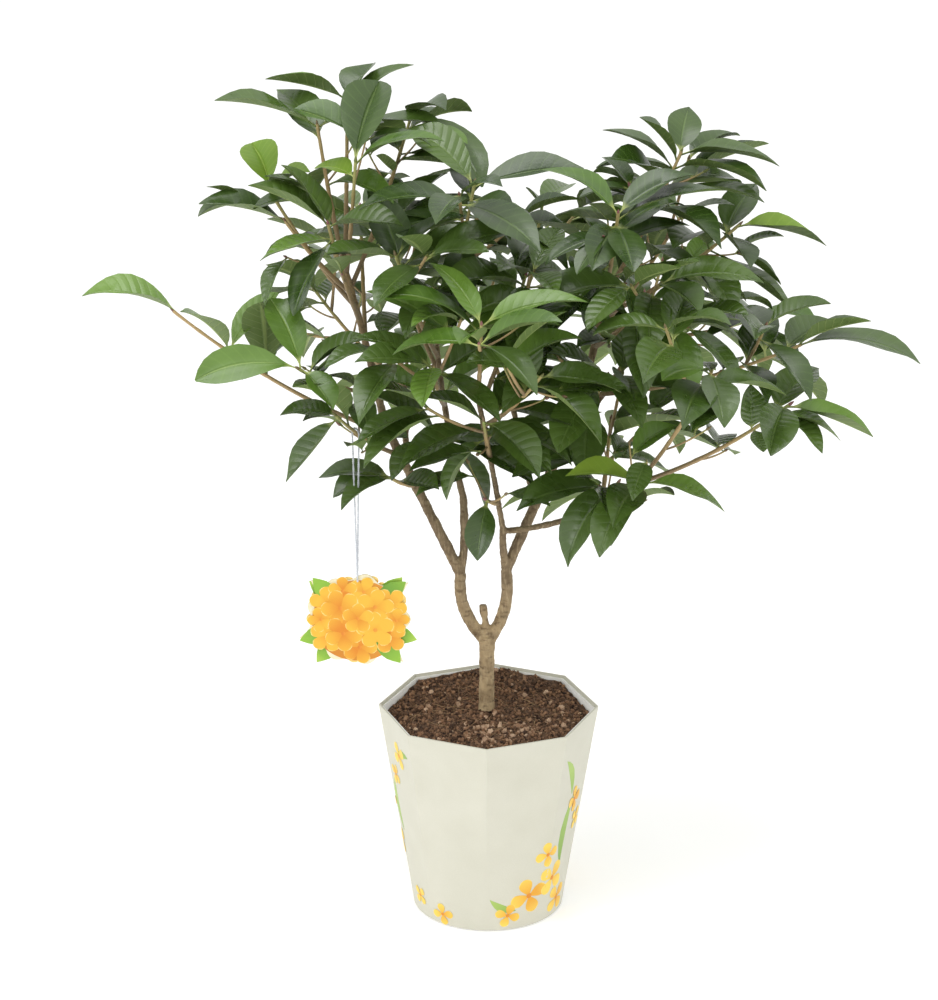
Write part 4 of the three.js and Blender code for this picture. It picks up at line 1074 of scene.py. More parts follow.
def ring_faces(rows, corners, sides=None):
    """The faces of a closed skin of rings, end caps included.

    Where a leaf has its underside, a face starts at another corner, so both sides bend on one diagonal.
    """
    faces = []
    for row in range(rows - 1):
        for corner in range(corners):
            beside = (corner + 1) % corners
            near, far = row * corners, (row + 1) * corners
            face = (near + corner, far + corner, far + beside, near + beside)
            faces.append(face[1:] + face[:1] if sides and sides[corner] else face)
    faces.append(tuple(range(corners)))
    faces.append(tuple((rows - 1) * corners + corner for corner in reversed(range(corners))))
    return faces


def mesh_of_skins(name, skins, materials, sides=None, smooth=SKIN_SMOOTHING):
    """One piece from many closed skins of rings, with what its materials read of each."""
    points = np.concatenate([skin.points.reshape(-1, 3) for skin in skins]) * MM
    faces, slots, first = [], [], 0
    for skin in skins:
        rows, corners = skin.points.shape[:2]
        own = ring_faces(rows, corners, sides)
        faces += [tuple(first + corner for corner in face) for face in own]
        if sides:
            slots += sides * (rows - 1) + [sides[0], sides[0]]
        first += rows * corners
    mesh = bpy.data.meshes.new(name)
    mesh.from_pydata(points.tolist(), [], faces)
    piece = bpy.data.objects.new(name, mesh)
    bpy.context.scene.collection.objects.link(piece)
    for material in materials:
        mesh.materials.append(material)
    if sides:
        mesh.polygons.foreach_set("material_index", slots)
    for key in ("along", "aside", "tone"):
        values = np.concatenate([getattr(skin, key) for skin in skins]).astype(np.float32)
        mesh.attributes.new(key, "FLOAT", "POINT").data.foreach_set("value", values)
    select_only(piece)
    bpy.ops.object.shade_smooth_by_angle(angle=math.radians(smooth))
    return piece


def heading_at(points, i):
    """The direction of a line of points at one of them."""
    return (points[min(i + 1, len(points) - 1)] - points[max(i - 1, 0)]).normalized()


def tube_skin(points, radii, sides):
    """The rings of a tube through points, with a radius at each."""
    rings = []
    for i, (point, radius) in enumerate(zip(points, radii)):
        along = heading_at(points, i)
        across, beside = axes_around(along)
        turns = [-math.tau * corner / sides for corner in range(sides)]
        outs = [across * math.cos(turn) + beside * math.sin(turn) for turn in turns]
        rings.append([point + out * radius for out in outs])
    return np.array(rings)


def leaf_roundness(leaf):
    """0 for a leaf with a long point, 1 for one that is widest near a blunt tip."""
    roundness = chance(*leaf.key, OF_SPREAD) ** LEAF_POINTEDNESS
    return LEAF_CHANGES.get(number_of(leaf), {}).get("blunt", roundness)


def leaf_tone(leaf):
    """0 for a dark smooth leaf, 1 for a light one with the blade raised between its veins."""
    # A mass's painted light or shade draws the leaf's tone, and with it its colour and relief, to the light
    # or the dark end
    pull = SPRAY_PAINTED_LIGHT.get(leaf.mass, 0)
    tone = lerp(chance(*leaf.key, OF_TONE), PAINTED_LIGHT_TONE if pull > 0 else 0, abs(pull))
    return LEAF_CHANGES.get(number_of(leaf), {}).get("tone", tone)


def leaf_kind(leaf):
    """Young, fresh or deep green, by the leaf itself or by the mass that it grows on."""
    for kind, numbers in LEAF_KINDS.items():
        if number_of(leaf) in numbers:
            return kind
    fresh = chance(*leaf.key, OF_TONE, OF_SPREAD) < FRESH_SPRAYS.get(leaf.mass, FRESH_ELSEWHERE)
    return "fresh" if fresh else "deep"


def leaf_skin(leaf):
    """A leaf's rings from its stalk to its tip: a folded blade with wavy margins."""
    key = leaf.key
    fold = LEAF_FOLD * (1 + LEAF_FOLD_SWAY * sway(*key, OF_WAVE))
    twist = math.radians(LEAF_TWIST) * sway(*key, OF_TONE)
    turned = (LEAF_LEVELLING - 1) * leaf.roll
    phases = [math.tau * chance(*key, OF_WAVE, side) for side in (1, 2)]
    roundness = leaf_roundness(leaf)
    rings = []
    for share, pointed, rounded, thickness in LEAF_ROWS:
        half = LEAF_SLIMNESS * leaf.width / 2 * lerp(pointed, rounded, roundness)
        ring = []
        for aside, face in LEAF_RING:
            out = abs(aside)
            lift = fold * half * (LEAF_RISE * out - LEAF_FLATTENING * out * out - LEAF_SINK)
            wave = LEAF_WAVE * half * out * math.sin(math.tau * LEAF_WAVES * share + phases[aside > 0])
            above = lift + wave + face * thickness / 2
            ring.append(leaf.point(share, aside * half, above, turned + twist * (share - LEAF_UNTWISTED)))
        rings.append(ring)
    shares = [row[0] for row in LEAF_ROWS]
    return Skin(rings, shares, [abs(aside) for aside, _ in LEAF_RING], leaf_tone(leaf))


def twig_skin(twig):
    """A twig's rings, from inside its parent to its bud, with a swelling at each pair of leaves."""
    limb = twig.limb
    steps = max(3, round(limb.length / TWIG_ROW))
    points, radii = [], []
    backs = [row["back"] * twig.spacing for row in PAIRS] + list(LEADER_EXTRA_BACK)
    for i in range(steps + 1):
        share = i / steps
        back = (1 - share) * limb.length
        swelling = max(math.exp(-(((back - at) / TWIG_NODE_WIDTH) ** 2)) for at in backs)
        points.append(limb.point(share))
        radii.append(limb.radius(share) * TWIG_NARROWING * (1 + TWIG_NODE_SWELLING * swelling))
    return Skin(tube_skin(points, radii, TWIG_SIDES), tone=chance(*twig.seed, OF_TONE))


def bud_skin(twig):
    """The pointed bud at a twig's tip."""
    tip, along = twig.limb.point(1), twig.limb.tangent(1)
    size = lerp(*BUD_SIZES, chance(*twig.seed, OF_TONE))
    points = [tip + along * (BUD_LENGTH * size * share - BUD_DEPTH) for share, _ in BUD_ROWS]
    radii = [BUD_RADIUS * size * radius for _, radius in BUD_ROWS]
    return Skin(tube_skin(points, radii, BUD_SIDES), tone=chance(*twig.seed, OF_ROLL))


def wood_curve(name, points, radii):
    """A rounded tube through points by a curve with a radius at each, turned into a mesh."""
    clear_selection()
    bpy.ops.curve.primitive_nurbs_path_add()
    piece = bpy.context.object
    piece.name = name
    bpy.ops.object.mode_set(mode="EDIT")
    bpy.ops.curve.select_all(action="SELECT")
    bpy.ops.curve.spline_type_set(type="POLY")
    bpy.ops.object.mode_set(mode="OBJECT")
    spline = piece.data.splines[0]
    spline.points.add(len(points) - len(spline.points))
    for place, point, radius in zip(spline.points, points, radii):
        place.co = (*(point * MM), 1)
        place.radius = radius
    piece.data.dimensions = "3D"
    piece.data.bevel_depth = MM
    piece.data.bevel_resolution = WOOD_RESOLUTION
    piece.data.use_fill_caps = True
    bpy.ops.object.convert(target="MESH")
    return piece


def bough_curve(name, limb, seed):
    """A limb's wood from inside its parent to its tip, with the rings of its old leaf pairs."""
    steps = max(4, round(limb.length / WOOD_STEP))
    points, radii = [], []
    for i in range(steps + 1):
        share = i / steps
        run = share * limb.length
        uneven = NODE_SPACING_SWAY * math.sin(run / NODE_SWAY_RUN + seed)
        off = (run / NODE_SPACING + chance(seed) + uneven) % 1 - 0.5
        ring = math.exp(-((off * NODE_SPACING / NODE_WIDTH) ** 2))
        points.append(limb.point(share))
        flare = TRUNK_FLARE_LOSS * math.exp(-run / TRUNK_FLARE_HEIGHT) if name == "trunk" else 0
        radii.append((limb.radius(share) - flare) * WOOD_NARROWING * (1 + NODE_SWELLING * ring))
    return wood_curve(name, points, radii)


def trunk_and_boughs(limbs):
    """Trunk and boughs as one skin: joined, closed over at the forks, and given the bark's relief."""
    parts = [bough_curve(name, limb, seed) for seed, (name, limb) in enumerate(limbs.items(), 1)]
    stub = Limb(limbs["trunk"].point(STUB_START), STUB_TIP, STUB_BOW, STUB_RADII)
    rows = len(STUB_RADII) - 1
    parts.append(wood_curve("stub", [stub.point(i / rows) for i in range(rows + 1)], STUB_RADII))
    clear_selection()
    for part in parts:
        part.select_set(True)
    wood = parts[0]
    bpy.context.view_layer.objects.active = wood
    bpy.ops.object.join()
    wood.name = "trunk_and_boughs"
    finish_with(wood, "REMESH", mode="VOXEL", voxel_size=WOOD_VOXEL * MM)
    finish_with(wood, "SMOOTH", factor=0.5, iterations=WOOD_SMOOTHING)
    for size, lift in BARK_RELIEFS:
        relief = bpy.data.textures.new(f"bark_relief_{size}", "CLOUDS")
        relief.noise_scale = size * MM
        relief.noise_depth = 2
        finish_with(wood, "DISPLACE", texture=relief, texture_coords="LOCAL", strength=lift * MM,
                    mid_level=0.5)
    wood.data.materials.clear()
    wood.data.materials.append(bark())
    bpy.ops.object.shade_smooth()
    return wood


def pot_radius(angle, height):
    """From the pot's axis to its skin, straight from the round foot to the eight-sided rim."""
    side = math.tau / RIM_CORNERS
    off = (angle + math.pi / 2 - math.radians(RIM_TURN)) % side - side / 2
    rim = RIM_CORNER_RADIUS * math.cos(side / 2) / math.cos(off)
    return lerp(FOOT_RADIUS, rim, height / POT_HEIGHT)


def select_where(piece, test):
    """In edit mode, selects the vertices whose place in mm passes a test."""
    bpy.ops.object.mode_set(mode="EDIT")
    bpy.ops.mesh.select_mode(type="VERT")
    bpy.ops.mesh.select_all(action="DESELECT")
    bpy.ops.object.mode_set(mode="OBJECT")
    for vertex in piece.data.vertices:
        vertex.select = test(vertex.co / MM)
    bpy.ops.object.mode_set(mode="EDIT")


def open_ring(name, height):
    """A ring of the pot's number of sides, ready in edit mode to be drawn up."""
    clear_selection()
    bpy.ops.mesh.primitive_circle_add(vertices=POT_SIDES, radius=FOOT_RADIUS * MM)
    piece = bpy.context.object
    piece.name = name
    bpy.ops.object.mode_set(mode="EDIT")
    bpy.ops.mesh.select_all(action="SELECT")
    bpy.ops.transform.translate(value=(0, 0, height * MM))
    return piece


def draw_up(bottom, top, levels):
    """In edit mode, draws the selected ring up from one height to another."""
    for _ in range(levels):
        rise = (top - bottom) / levels * MM
        bpy.ops.mesh.extrude_region_move(TRANSFORM_OT_translate={"value": (0, 0, rise)})


def fit_to_pot(piece, inset, share_of=lambda radius: 1.0):
    """Moves each vertex to the pot's own section, a distance inside its skin."""
    for vertex in piece.data.vertices:
        x, y, height = vertex.co / MM
        share = share_of(math.hypot(x, y))
        angle = math.atan2(y, x) + math.radians(RIM_TURN)
        radius = share * (pot_radius(angle, height) - inset)
        vertex.co = (radius * math.cos(angle) * MM, radius * math.sin(angle) * MM, height * MM)


def pot_wall(name, inset, bottom, top, wall, material, floor=False):
    """A wall of card or plastic: a ring drawn up, fitted to the pot's section and given its thickness."""
    piece = open_ring(name, bottom)
    draw_up(bottom, top, POT_LEVELS)
    if floor:
        select_where(piece, lambda place: place.z < bottom + SAME_LEVEL)
        bpy.ops.mesh.edge_face_add()
        bpy.ops.mesh.inset(thickness=LINER_FLOOR_INSET * MM, depth=0)
    bpy.ops.mesh.select_all(action="SELECT")
    bpy.ops.mesh.normals_make_consistent(inside=False)
    bpy.ops.object.mode_set(mode="OBJECT")
    if floor:
        fit_to_pot(piece, inset, lambda radius: min(1.0, radius / FOOT_RADIUS))
    else:
        fit_to_pot(piece, inset)
    finish_with(piece, "SOLIDIFY", thickness=wall * MM, offset=-1, use_even_offset=True)
    finish_with(piece, "BEVEL", width=RIM_ROUNDING * MM, segments=2, limit_method="ANGLE",
                angle_limit=math.radians(RIM_ANGLE))
    piece.data.materials.append(material)
    select_only(piece)
    bpy.ops.object.shade_smooth_by_angle(angle=math.radians(POT_SMOOTHING))
    return piece


def soil_edge(x, y):
    """From the pot's axis to the liner's inner face, in the direction of a place on the soil."""
    return pot_radius(math.atan2(y, x), SOIL_EDGE_HEIGHT) - CARD - LINER_WALL - 2 * GAP


def soil_height(x, y):
    """The soil's surface: level round the trunk, lower at the edge, and heaved in lumps."""
    edge = soil_edge(x, y)
    share = min(1.0, math.hypot(x, y) / edge)
    shares = (0, SOIL_FLAT_SHARE, SOIL_SHOULDER_SHARE, 1)
    heights = (SOIL_CROWN_HEIGHT, SOIL_CROWN_HEIGHT, SOIL_SHOULDER_HEIGHT, SOIL_EDGE_HEIGHT)
    place = Vector((x, y, 0)) / SOIL_LUMP_SPACING
    heave = SOIL_LUMP * (noise.fractal(place, *SOIL_LUMP_DETAIL) - SOIL_LUMP_MIDDLE)
    rough = SOIL_ROUGHNESS * noise.noise(place * SOIL_FINENESS)
    bank = SOIL_BANK * max(0.0, y / edge) ** 2 * share + SOIL_RIM_RISE * share**4
    mound = SOIL_MOUND * math.exp(-((math.hypot(x, y) / SOIL_MOUND_WIDTH) ** 2))
    return float(np.interp(share, shares, heights)) + bank + mound + heave + rough


def soil_bed(material):
    """Soil: drawn up the liner, then ring by ring to the middle, with a heaved surface."""
    inset = CARD + LINER_WALL + 2 * GAP
    bottom = LINER_FLOOR + GAP
    piece = open_ring("soil_bed", bottom)
    bpy.ops.mesh.edge_face_add()
    select_where(piece, lambda place: True)
    draw_up(bottom, SOIL_EDGE_HEIGHT, 1)
    for ring in range(1, SOIL_RINGS):
        bpy.ops.mesh.extrude_region_move()
        shrink = 1 - 1 / (SOIL_RINGS - ring + 1)
        bpy.ops.transform.resize(value=(shrink, shrink, 1))
    bpy.ops.object.mode_set(mode="OBJECT")
    fit_to_pot(piece, inset, lambda radius: radius / FOOT_RADIUS)
    for vertex in piece.data.vertices:
        x, y, height = vertex.co / MM
        if height > SOIL_EDGE_HEIGHT - 1:
            vertex.co.z = soil_height(x, y) * MM
    bpy.ops.object.mode_set(mode="EDIT")
    bpy.ops.mesh.select_all(action="SELECT")
    bpy.ops.mesh.normals_make_consistent(inside=False)
    bpy.ops.object.mode_set(mode="OBJECT")
    piece.data.materials.append(material)
    bpy.ops.object.shade_smooth()
    return piece


def lump(draw, place, size):
    """A small squashed lump with four uneven rings, turned any way."""
    along = Vector((draw.uniform(-1, 1), draw.uniform(-1, 1), draw.uniform(-LUMP_DIP, 1))).normalized()
    points = [place + along * size * share for share, _ in LUMP_ROWS]
    radii = [size * draw.uniform(least, least + LUMP_SPREAD) for _, least in LUMP_ROWS]
    rings = tube_skin(points, radii, LUMP_SIDES)
    for corner in rings.reshape(-1, 3):
        corner += [draw.uniform(-LUMP_BUMP, LUMP_BUMP) * size for _ in range(3)]
    return Skin(rings, tone=draw.random())


def strewn(count, sizes, seed, heap=None, heaped=0.0):
    """Lumps strewn over the soil, a share of them on a heap."""
    draw = random.Random(seed)
    lumps = []
    while len(lumps) < count:
        if heap and draw.random() < heaped:
            x, y = draw.gauss(heap[0], heap[2]), draw.gauss(heap[1], heap[2] * HEAP_DEPTH)
        else:
            x, y = draw.uniform(-STREWN_WITHIN, STREWN_WITHIN), draw.uniform(-STREWN_WITHIN, STREWN_WITHIN)
        size = lerp(*sizes, draw.random() ** 2)
        clear = LUMP_RISE * size
        if TRUNK_RADIUS + clear < math.hypot(x, y) < soil_edge(x, y) - size:
            lumps.append(lump(draw, Vector((x, y, soil_height(x, y) + clear)), size))
    return lumps


def fibres(seed):
    """Thin coir fibres that lie bowed on the soil."""
    draw = random.Random(seed)
    skins = []
    while len(skins) < FIBRES:
        x, y = draw.uniform(-FIBRES_WITHIN, FIBRES_WITHIN), draw.uniform(-FIBRES_WITHIN, FIBRES_WITHIN)
        turn = draw.uniform(0, math.tau)
        length, bow = draw.uniform(*FIBRE_LENGTHS), draw.uniform(-FIBRE_BOW, FIBRE_BOW)
        if not TRUNK_RADIUS + FIBRE_CLEARANCE < math.hypot(x, y) < FIBRE_LIMIT - length / 2:
            continue
        points = []
        for share in FIBRE_PLACES:
            along, out = length * share, length * bow * (0.25 - share * share)
            px = x + along * math.cos(turn) - out * math.sin(turn)
            py = y + along * math.sin(turn) + out * math.cos(turn)
            lift = FIBRE_LIFT - FIBRE_FALL * share * share + draw.uniform(0, FIBRE_LIFT_SPREAD)
            points.append(Vector((px, py, soil_height(px, py) + lift)))
        skins.append(Skin(tube_skin(points, FIBRE_RADII, FIBRE_SIDES), tone=draw.random()))
    return skins


def on_sleeve(turn, height):
    """A place on the sleeve, for printed shapes: degrees round to the right from the front, and a height."""

    def place(x, y, above):
        angle = math.radians(turn - 90)
        angle += x / pot_radius(angle, height + y)
        radius = pot_radius(angle, height + y) + above
        return Vector((radius * math.cos(angle), radius * math.sin(angle), height + y))

    return place


def on_tag(centre, side):
    """A place on the tag's front (side 1) or back (side -1)."""

    def place(x, y, above):
        return Vector((centre.x + side * x, centre.y - side * (TAG_THICKNESS / 2 + above), centre.z + y))

    return place


def printed(place, foot, turn, length, width, rows, level, bend=0.0, tone=0.5):
    """A flat printed shape on a surface: rows give its half width from its foot to its tip."""
    rings = []
    heading = math.radians(turn)
    cos, sin = math.cos(heading), math.sin(heading)
    for share, half in rows:
        run, off = length * share, bend * share * (1 - share) * 4
        ring = []
        for aside, face in PRINT_RING:
            out = off + aside * half * width / 2
            x, y = foot[0] + cos * run - sin * out, foot[1] + sin * run + cos * out
            ring.append(place(x, y, level + face * INK / 2))
        rings.append(ring)
    along = [share for share, _ in rows]
    return Skin(rings, along, [abs(aside) for aside, _ in PRINT_RING], tone)


def blossom(place, x, y, size, turn, level, petals, tone, fullness):
    """A plain blossom of rounded petals, each a little above the one before it."""
    width = size * fullness / petals
    made = []
    for i in range(petals):
        shade = tone + PETAL_SHADE_SWAY * sway(round(10 * x), round(10 * y), i)
        heading, raised = turn + 360 * i / petals, level + i * INK_STEP
        made.append(printed(place, (x, y), heading, size, width, PETAL_ROWS, raised, tone=shade))
    return made


def heart(place, x, y, size, level, tone=0.5):
    """The small disc in the middle of a blossom."""
    return printed(place, (x - size, y), 0, 2 * size, 2 * size, DISC_ROWS, level, tone=tone)


def tag_hang(limbs):
    """Where the string hangs on its stem, the stem's radius and direction there, and the tag's hole."""
    stem = stem_of(TAG_ON, limbs)
    place = Twig(TAG_ON, stem, stem.begin, [0, 0], 0, 0).middle(TAG_AT)
    return place, stem.radius(TAG_AT), stem.tangent(TAG_AT), place - UP * STRING_LENGTH


def string_path(place, radius, along, hole):
    """The middle line of the loop of string: over the twig, down, and through the hole."""
    aside = Vector((along.y, -along.x, 0)).normalized()
    rise = radius / along.xy.length + STRING_CLEARANCE + STRING_RADIUS - STRING_TOP_SPREAD - STRING_SETTLING
    top_centre = place + UP * rise
    low_centre = hole + UP * (TAG_HOLE_RADIUS + TAG_THICKNESS / 2)
    low_radius = TAG_THICKNESS / 2 + STRING_CLEARANCE + STRING_RADIUS
    back = Vector((0, 1, 0))
    turns = [math.pi * i / STRING_BEND_STEPS for i in range(STRING_BEND_STEPS + 1)]
    top = [top_centre + (aside * math.cos(t) + UP * math.sin(t)) * STRING_TOP_SPREAD for t in turns]
    low = [low_centre + (back * math.cos(t) - UP * math.sin(t)) * low_radius for t in turns]
    falls = [i / STRING_FALL_STEPS for i in range(1, STRING_FALL_STEPS)]
    down = [top[-1].lerp(low[0], share) for share in falls]
    up = [low[-1].lerp(top[0], share) for share in falls]
    return top + down + low + up + top[:2]


def string_plies(path):
    """The two plies of the string, wound round its middle line."""
    skins = []
    runs = np.cumsum([0] + [(b - a).length for a, b in zip(path, path[1:])])
    for ply in (0, 1):
        points = []
        for i, point in enumerate(path):
            along = heading_at(path, i)
            side = along.cross(OFF_PLY).normalized()
            turn = math.tau * (runs[i] / PLY_TURN + ply / 2)
            out = side * math.cos(turn) + along.cross(side) * math.sin(turn)
            points.append(point + out * PLY_RADIUS)
        skins.append(ply_skin(points))
    return skins


def ply_skin(points):
    """One ply's rings, square to its winding line."""
    turns = [math.tau * corner / PLY_SIDES for corner in range(PLY_SIDES)]
    rings = []
    for i, point in enumerate(points):
        along = heading_at(points, i)
        side = along.cross(OFF_PLY).normalized()
        other = side.cross(along)
        rings.append([point + (side * math.cos(t) + other * math.sin(t)) * PLY_RADIUS for t in turns])
    return Skin(rings)


def srgb(code):
    """A hex colour as linear red, green, blue and alpha."""
    parts = [int(code[i:i + 2], 16) / 255 for i in (1, 3, 5)]
    return (*[part / 12.92 if part <= 0.04045 else ((part + 0.055) / 1.055) ** 2.4 for part in parts], 1)


def add_node(tree, kind, inputs=(), out=0, **settings):
    """Adds a shader node and returns one of its outputs.

    The inputs go by name or number, or in their order, to a socket, a value or a hex colour. In their order,
    a MapRange has its value, the range from and the range to. A Mix has its share in 0, its colours in 6
    and 7, and the colour that it gives in output 2.
    """
    node = tree.nodes.new("ShaderNode" + kind)
    for name, value in settings.items():
        setattr(node, name, value)
    for name, value in inputs.items() if isinstance(inputs, dict) else enumerate(inputs):
        if isinstance(value, bpy.types.NodeSocket):
            tree.links.new(value, node.inputs[name])
        else:
            node.inputs[name].default_value = srgb(value) if isinstance(value, str) else value
    return None if out is None else node.outputs[out]


def new_material(name):
    """An empty material, its node tree, and the object's own coordinates."""
    material = bpy.data.materials.new(name)
    material.use_nodes = True
    tree = material.node_tree
    tree.nodes.clear()
    return material, tree, add_node(tree, "TexCoord", out="Object")


def surface(tree, inputs, height=None, depth=0.0):
    """The shader at the end of a material, with a relief of a depth in mm."""
    if height is not None:
        relief = add_node(tree, "Bump", {"Height": height, "Distance": depth * MM, "Strength": 1.0})
        inputs = {**inputs, "Normal": relief}
    shader = add_node(tree, "BsdfPrincipled", inputs)
    add_node(tree, "OutputMaterial", {"Surface": shader}, out=None)


def noise_of(size):
    """The scale of a noise whose blotches are a size in mm."""
    return 1 / (size * MM)


def side_veins(tree, along, aside):
    """How far a place is from the nearest of a leaf's side veins, which run forward from the midrib."""
    leaning = add_node(tree, "Math", [aside, -VEIN_LEAN, 0.0], operation="MULTIPLY_ADD")
    phase = add_node(tree, "Math", [along, VEIN_PAIRS, leaning], operation="MULTIPLY_ADD")
    return add_node(tree, "Math", [phase, 0.5], operation="PINGPONG")


def leaf_upper(name, dark, light, vein, midrib, stalk, roughness, gloss):
    """Evergreen leaf, waxy above: sunk side veins with the blade raised between them, and a pale midrib."""
    material, tree, place = new_material(name)
    along = add_node(tree, "Attribute", out="Fac", attribute_name="along")
    aside = add_node(tree, "Attribute", out="Fac", attribute_name="aside")
    tone = add_node(tree, "Attribute", out="Fac", attribute_name="tone")
    # Relief: blade domed between the veins on the lighter leaves, midrib sunk, and a leathery grain, which
    # is drawn coarser than the real one so that it shows
    off_vein = side_veins(tree, along, aside)
    dome = add_node(tree, "Math", [off_vein, 0.55], operation="POWER")
    quilting = add_node(tree, "MapRange", [tone, 0.45, 0.95, 0.08, 1.0])
    pillow = add_node(tree, "Math", [dome, quilting], operation="MULTIPLY")
    rib = add_node(tree, "MapRange", [aside, 0.02, 0.11, -0.5, 0.0], interpolation_type="SMOOTHSTEP")
    grain = add_node(tree, "TexNoise", {"Vector": place, "Scale": noise_of(1.6), "Detail": 2.0})
    rough = add_node(tree, "Math", [grain, 0.12, pillow], operation="MULTIPLY_ADD")
    relief = add_node(tree, "Math", [rough, rib], operation="ADD")
    # Colour: blotched blade by the leaf's tone, which carries its mass's painted light or shade, paler
    # veins, midrib and stalk
    blotch = add_node(tree, "TexNoise", {"Vector": place, "Scale": noise_of(26), "Detail": 2.0})
    shade = add_node(tree, "Math", [blotch, tone], operation="ADD")
    share = add_node(tree, "MapRange", [shade, 0.35, 1.5])
    colour = add_node(tree, "Mix", {0: share, 6: dark, 7: light}, out=2, data_type="RGBA")
    on_vein = add_node(tree, "MapRange", [off_vein, 0.03, 0.11, 0.22, 0.0])
    on_rib = add_node(tree, "MapRange", [aside, 0.02, 0.07, 0.45, 0.0])
    on_stalk = add_node(tree, "MapRange", [along, 0.1, 0.17, 1.0, 0.0])
    for share, paint in ((on_vein, vein), (on_rib, midrib), (on_stalk, stalk)):
        colour = add_node(tree, "Mix", {0: share, 6: colour, 7: paint}, out=2, data_type="RGBA")
    dull = add_node(tree, "MapRange", [blotch, 0.3, 0.7, roughness - 0.06, roughness + 0.1])
    finish = {"Base Color": colour, "Roughness": dull, "IOR": 1.46, "Specular IOR Level": gloss}
    surface(tree, finish, relief, depth=0.75)
    return material


def leaf_underside():
    """The leaf's matte underside: paler and dull, with the midrib and side veins raised."""
    material, tree, place = new_material("osmanthus_leaf_underside")
    blade, pale = "#586F33", "#8C9D5C"
    along = add_node(tree, "Attribute", out="Fac", attribute_name="along")
    aside = add_node(tree, "Attribute", out="Fac", attribute_name="aside")
    on_vein = add_node(tree, "MapRange", [side_veins(tree, along, aside), 0.02, 0.1, 0.5, 0.0])
    on_rib = add_node(tree, "MapRange", [aside, 0.05, 0.14, 1.0, 0.0])
    raised = add_node(tree, "Math", [on_vein, on_rib], operation="MAXIMUM")
    blotch = add_node(tree, "TexNoise", {"Vector": place, "Scale": noise_of(18), "Detail": 3.0})
    lighter = add_node(tree, "MapRange", [blotch, 0.0, 1.0, 0.0, 0.35])
    colour = add_node(tree, "Mix", {0: lighter, 6: blade, 7: pale}, out=2, data_type="RGBA")
    colour = add_node(tree, "Mix", {0: raised, 6: colour, 7: pale}, out=2, data_type="RGBA")
    surface(tree, {"Base Color": colour, "Roughness": 0.62, "IOR": 1.45}, raised, depth=0.5)
    return material


def young_bark():
    """Young bark: dull, grey-brown at the foot, tan further out and green at the tip, with pale pores."""
    material, tree, place = new_material("osmanthus_twig_skin")
    along = add_node(tree, "Attribute", out="Fac", attribute_name="along")
    tone = add_node(tree, "Attribute", out="Fac", attribute_name="tone")
    out = add_node(tree, "MapRange", [along, 0.05, 0.6])
    green = add_node(tree, "MapRange", [along, 0.62, 1.0])
    much = add_node(tree, "Math", [green, tone], operation="MULTIPLY")
    pores = add_node(tree, "TexNoise", {"Vector": place, "Scale": noise_of(1.5), "Detail": 3.0})
    spots = add_node(tree, "MapRange", [pores, 0.55, 0.75, 0.0, 0.5])
    colour = "#86735A"
    for share, paint in ((out, "#B4996C"), (much, "#93A55A"), (spots, "#C9B48C")):
        colour = add_node(tree, "Mix", {0: share, 6: colour, 7: paint}, out=2, data_type="RGBA")
    surface(tree, {"Base Color": colour, "Roughness": 0.6, "IOR": 1.45}, pores, depth=0.4)
    return material


def bark():
    """Bark of a young stem: dull tan-grey, darker above the fork and warmer again in the crown.

    Fine pale cracks run along the grain, and darker scars lie across it.
    """
    material, tree, place = new_material("osmanthus_bark")
    grain = add_node(tree, "Mapping", {"Vector": place, "Scale": (1.0, 1.0, 0.22)})
    crack = {"Vector": grain, "Scale": noise_of(1.7), "Detail": 6.0, "Roughness": 0.65}
    cracks = add_node(tree, "TexNoise", crack)
    patches = add_node(tree, "TexNoise", {"Vector": place, "Scale": noise_of(11), "Detail": 3.0})
    rings = add_node(tree, "Mapping", {"Vector": place, "Scale": (0.5, 0.5, 1.0)})
    scars = add_node(tree, "TexNoise", {"Vector": rings, "Scale": noise_of(3.4), "Detail": 3.0})
    height = add_node(tree, "SeparateXYZ", {"Vector": place}, out="Z")
    pale = add_node(tree, "MapRange", [patches, 0.32, 0.68])
    above_fork = add_node(tree, "MapRange", [height, 0.24, 0.32, 0.0, 0.7])
    in_crown = add_node(tree, "MapRange", [height, 0.47, 0.56, 0.0, 0.8])
    dark = add_node(tree, "MapRange", [scars, 0.53, 0.7, 0.0, 0.7])
    light = add_node(tree, "MapRange", [cracks, 0.5, 0.75, 0.0, 0.6])
    colour = "#826E50"
    paints = ((pale, "#C2AA83"), (above_fork, "#5E4F3D"), (in_crown, "#B0956C"), (dark, "#57442F"),
              (light, "#C9B592"))
    for share, paint in paints:
        colour = add_node(tree, "Mix", {0: share, 6: colour, 7: paint}, out=2, data_type="RGBA")
    relief = add_node(tree, "Math", [scars, -0.6, cracks], operation="MULTIPLY_ADD")
    surface(tree, {"Base Color": colour, "Roughness": 0.8, "IOR": 1.45}, relief, depth=0.8)
    return material


def grained(name, low, high, size, roughness, depth, detail=3.0, tinted=False, **sockets):
    """A matte material between two colours, with blotches of a size in mm and a relief as deep as said.

    A tinted one takes its colour from the tone of each thing in the piece, and only its relief is grained.
    """
    material, tree, place = new_material(name)
    grain = add_node(tree, "TexNoise", {"Vector": place, "Scale": noise_of(size), "Detail": detail})
    if tinted:
        share = add_node(tree, "Attribute", out="Fac", attribute_name="tone")
    else:
        share = add_node(tree, "MapRange", [grain, 0.35, 0.65])
    colour = add_node(tree, "Mix", {0: share, 6: low, 7: high}, out=2, data_type="RGBA")
    surface(tree, {"Base Color": colour, "Roughness": roughness, "IOR": 1.45, **sockets}, grain, depth)
    return material


def bud_scales():
    """Bud scales: each bud between green and dull purple, with a slight gloss."""
    return grained("bud_scales", "#6E7A3C", "#8E5A5E", size=2, roughness=0.5, depth=0.2, tinted=True)


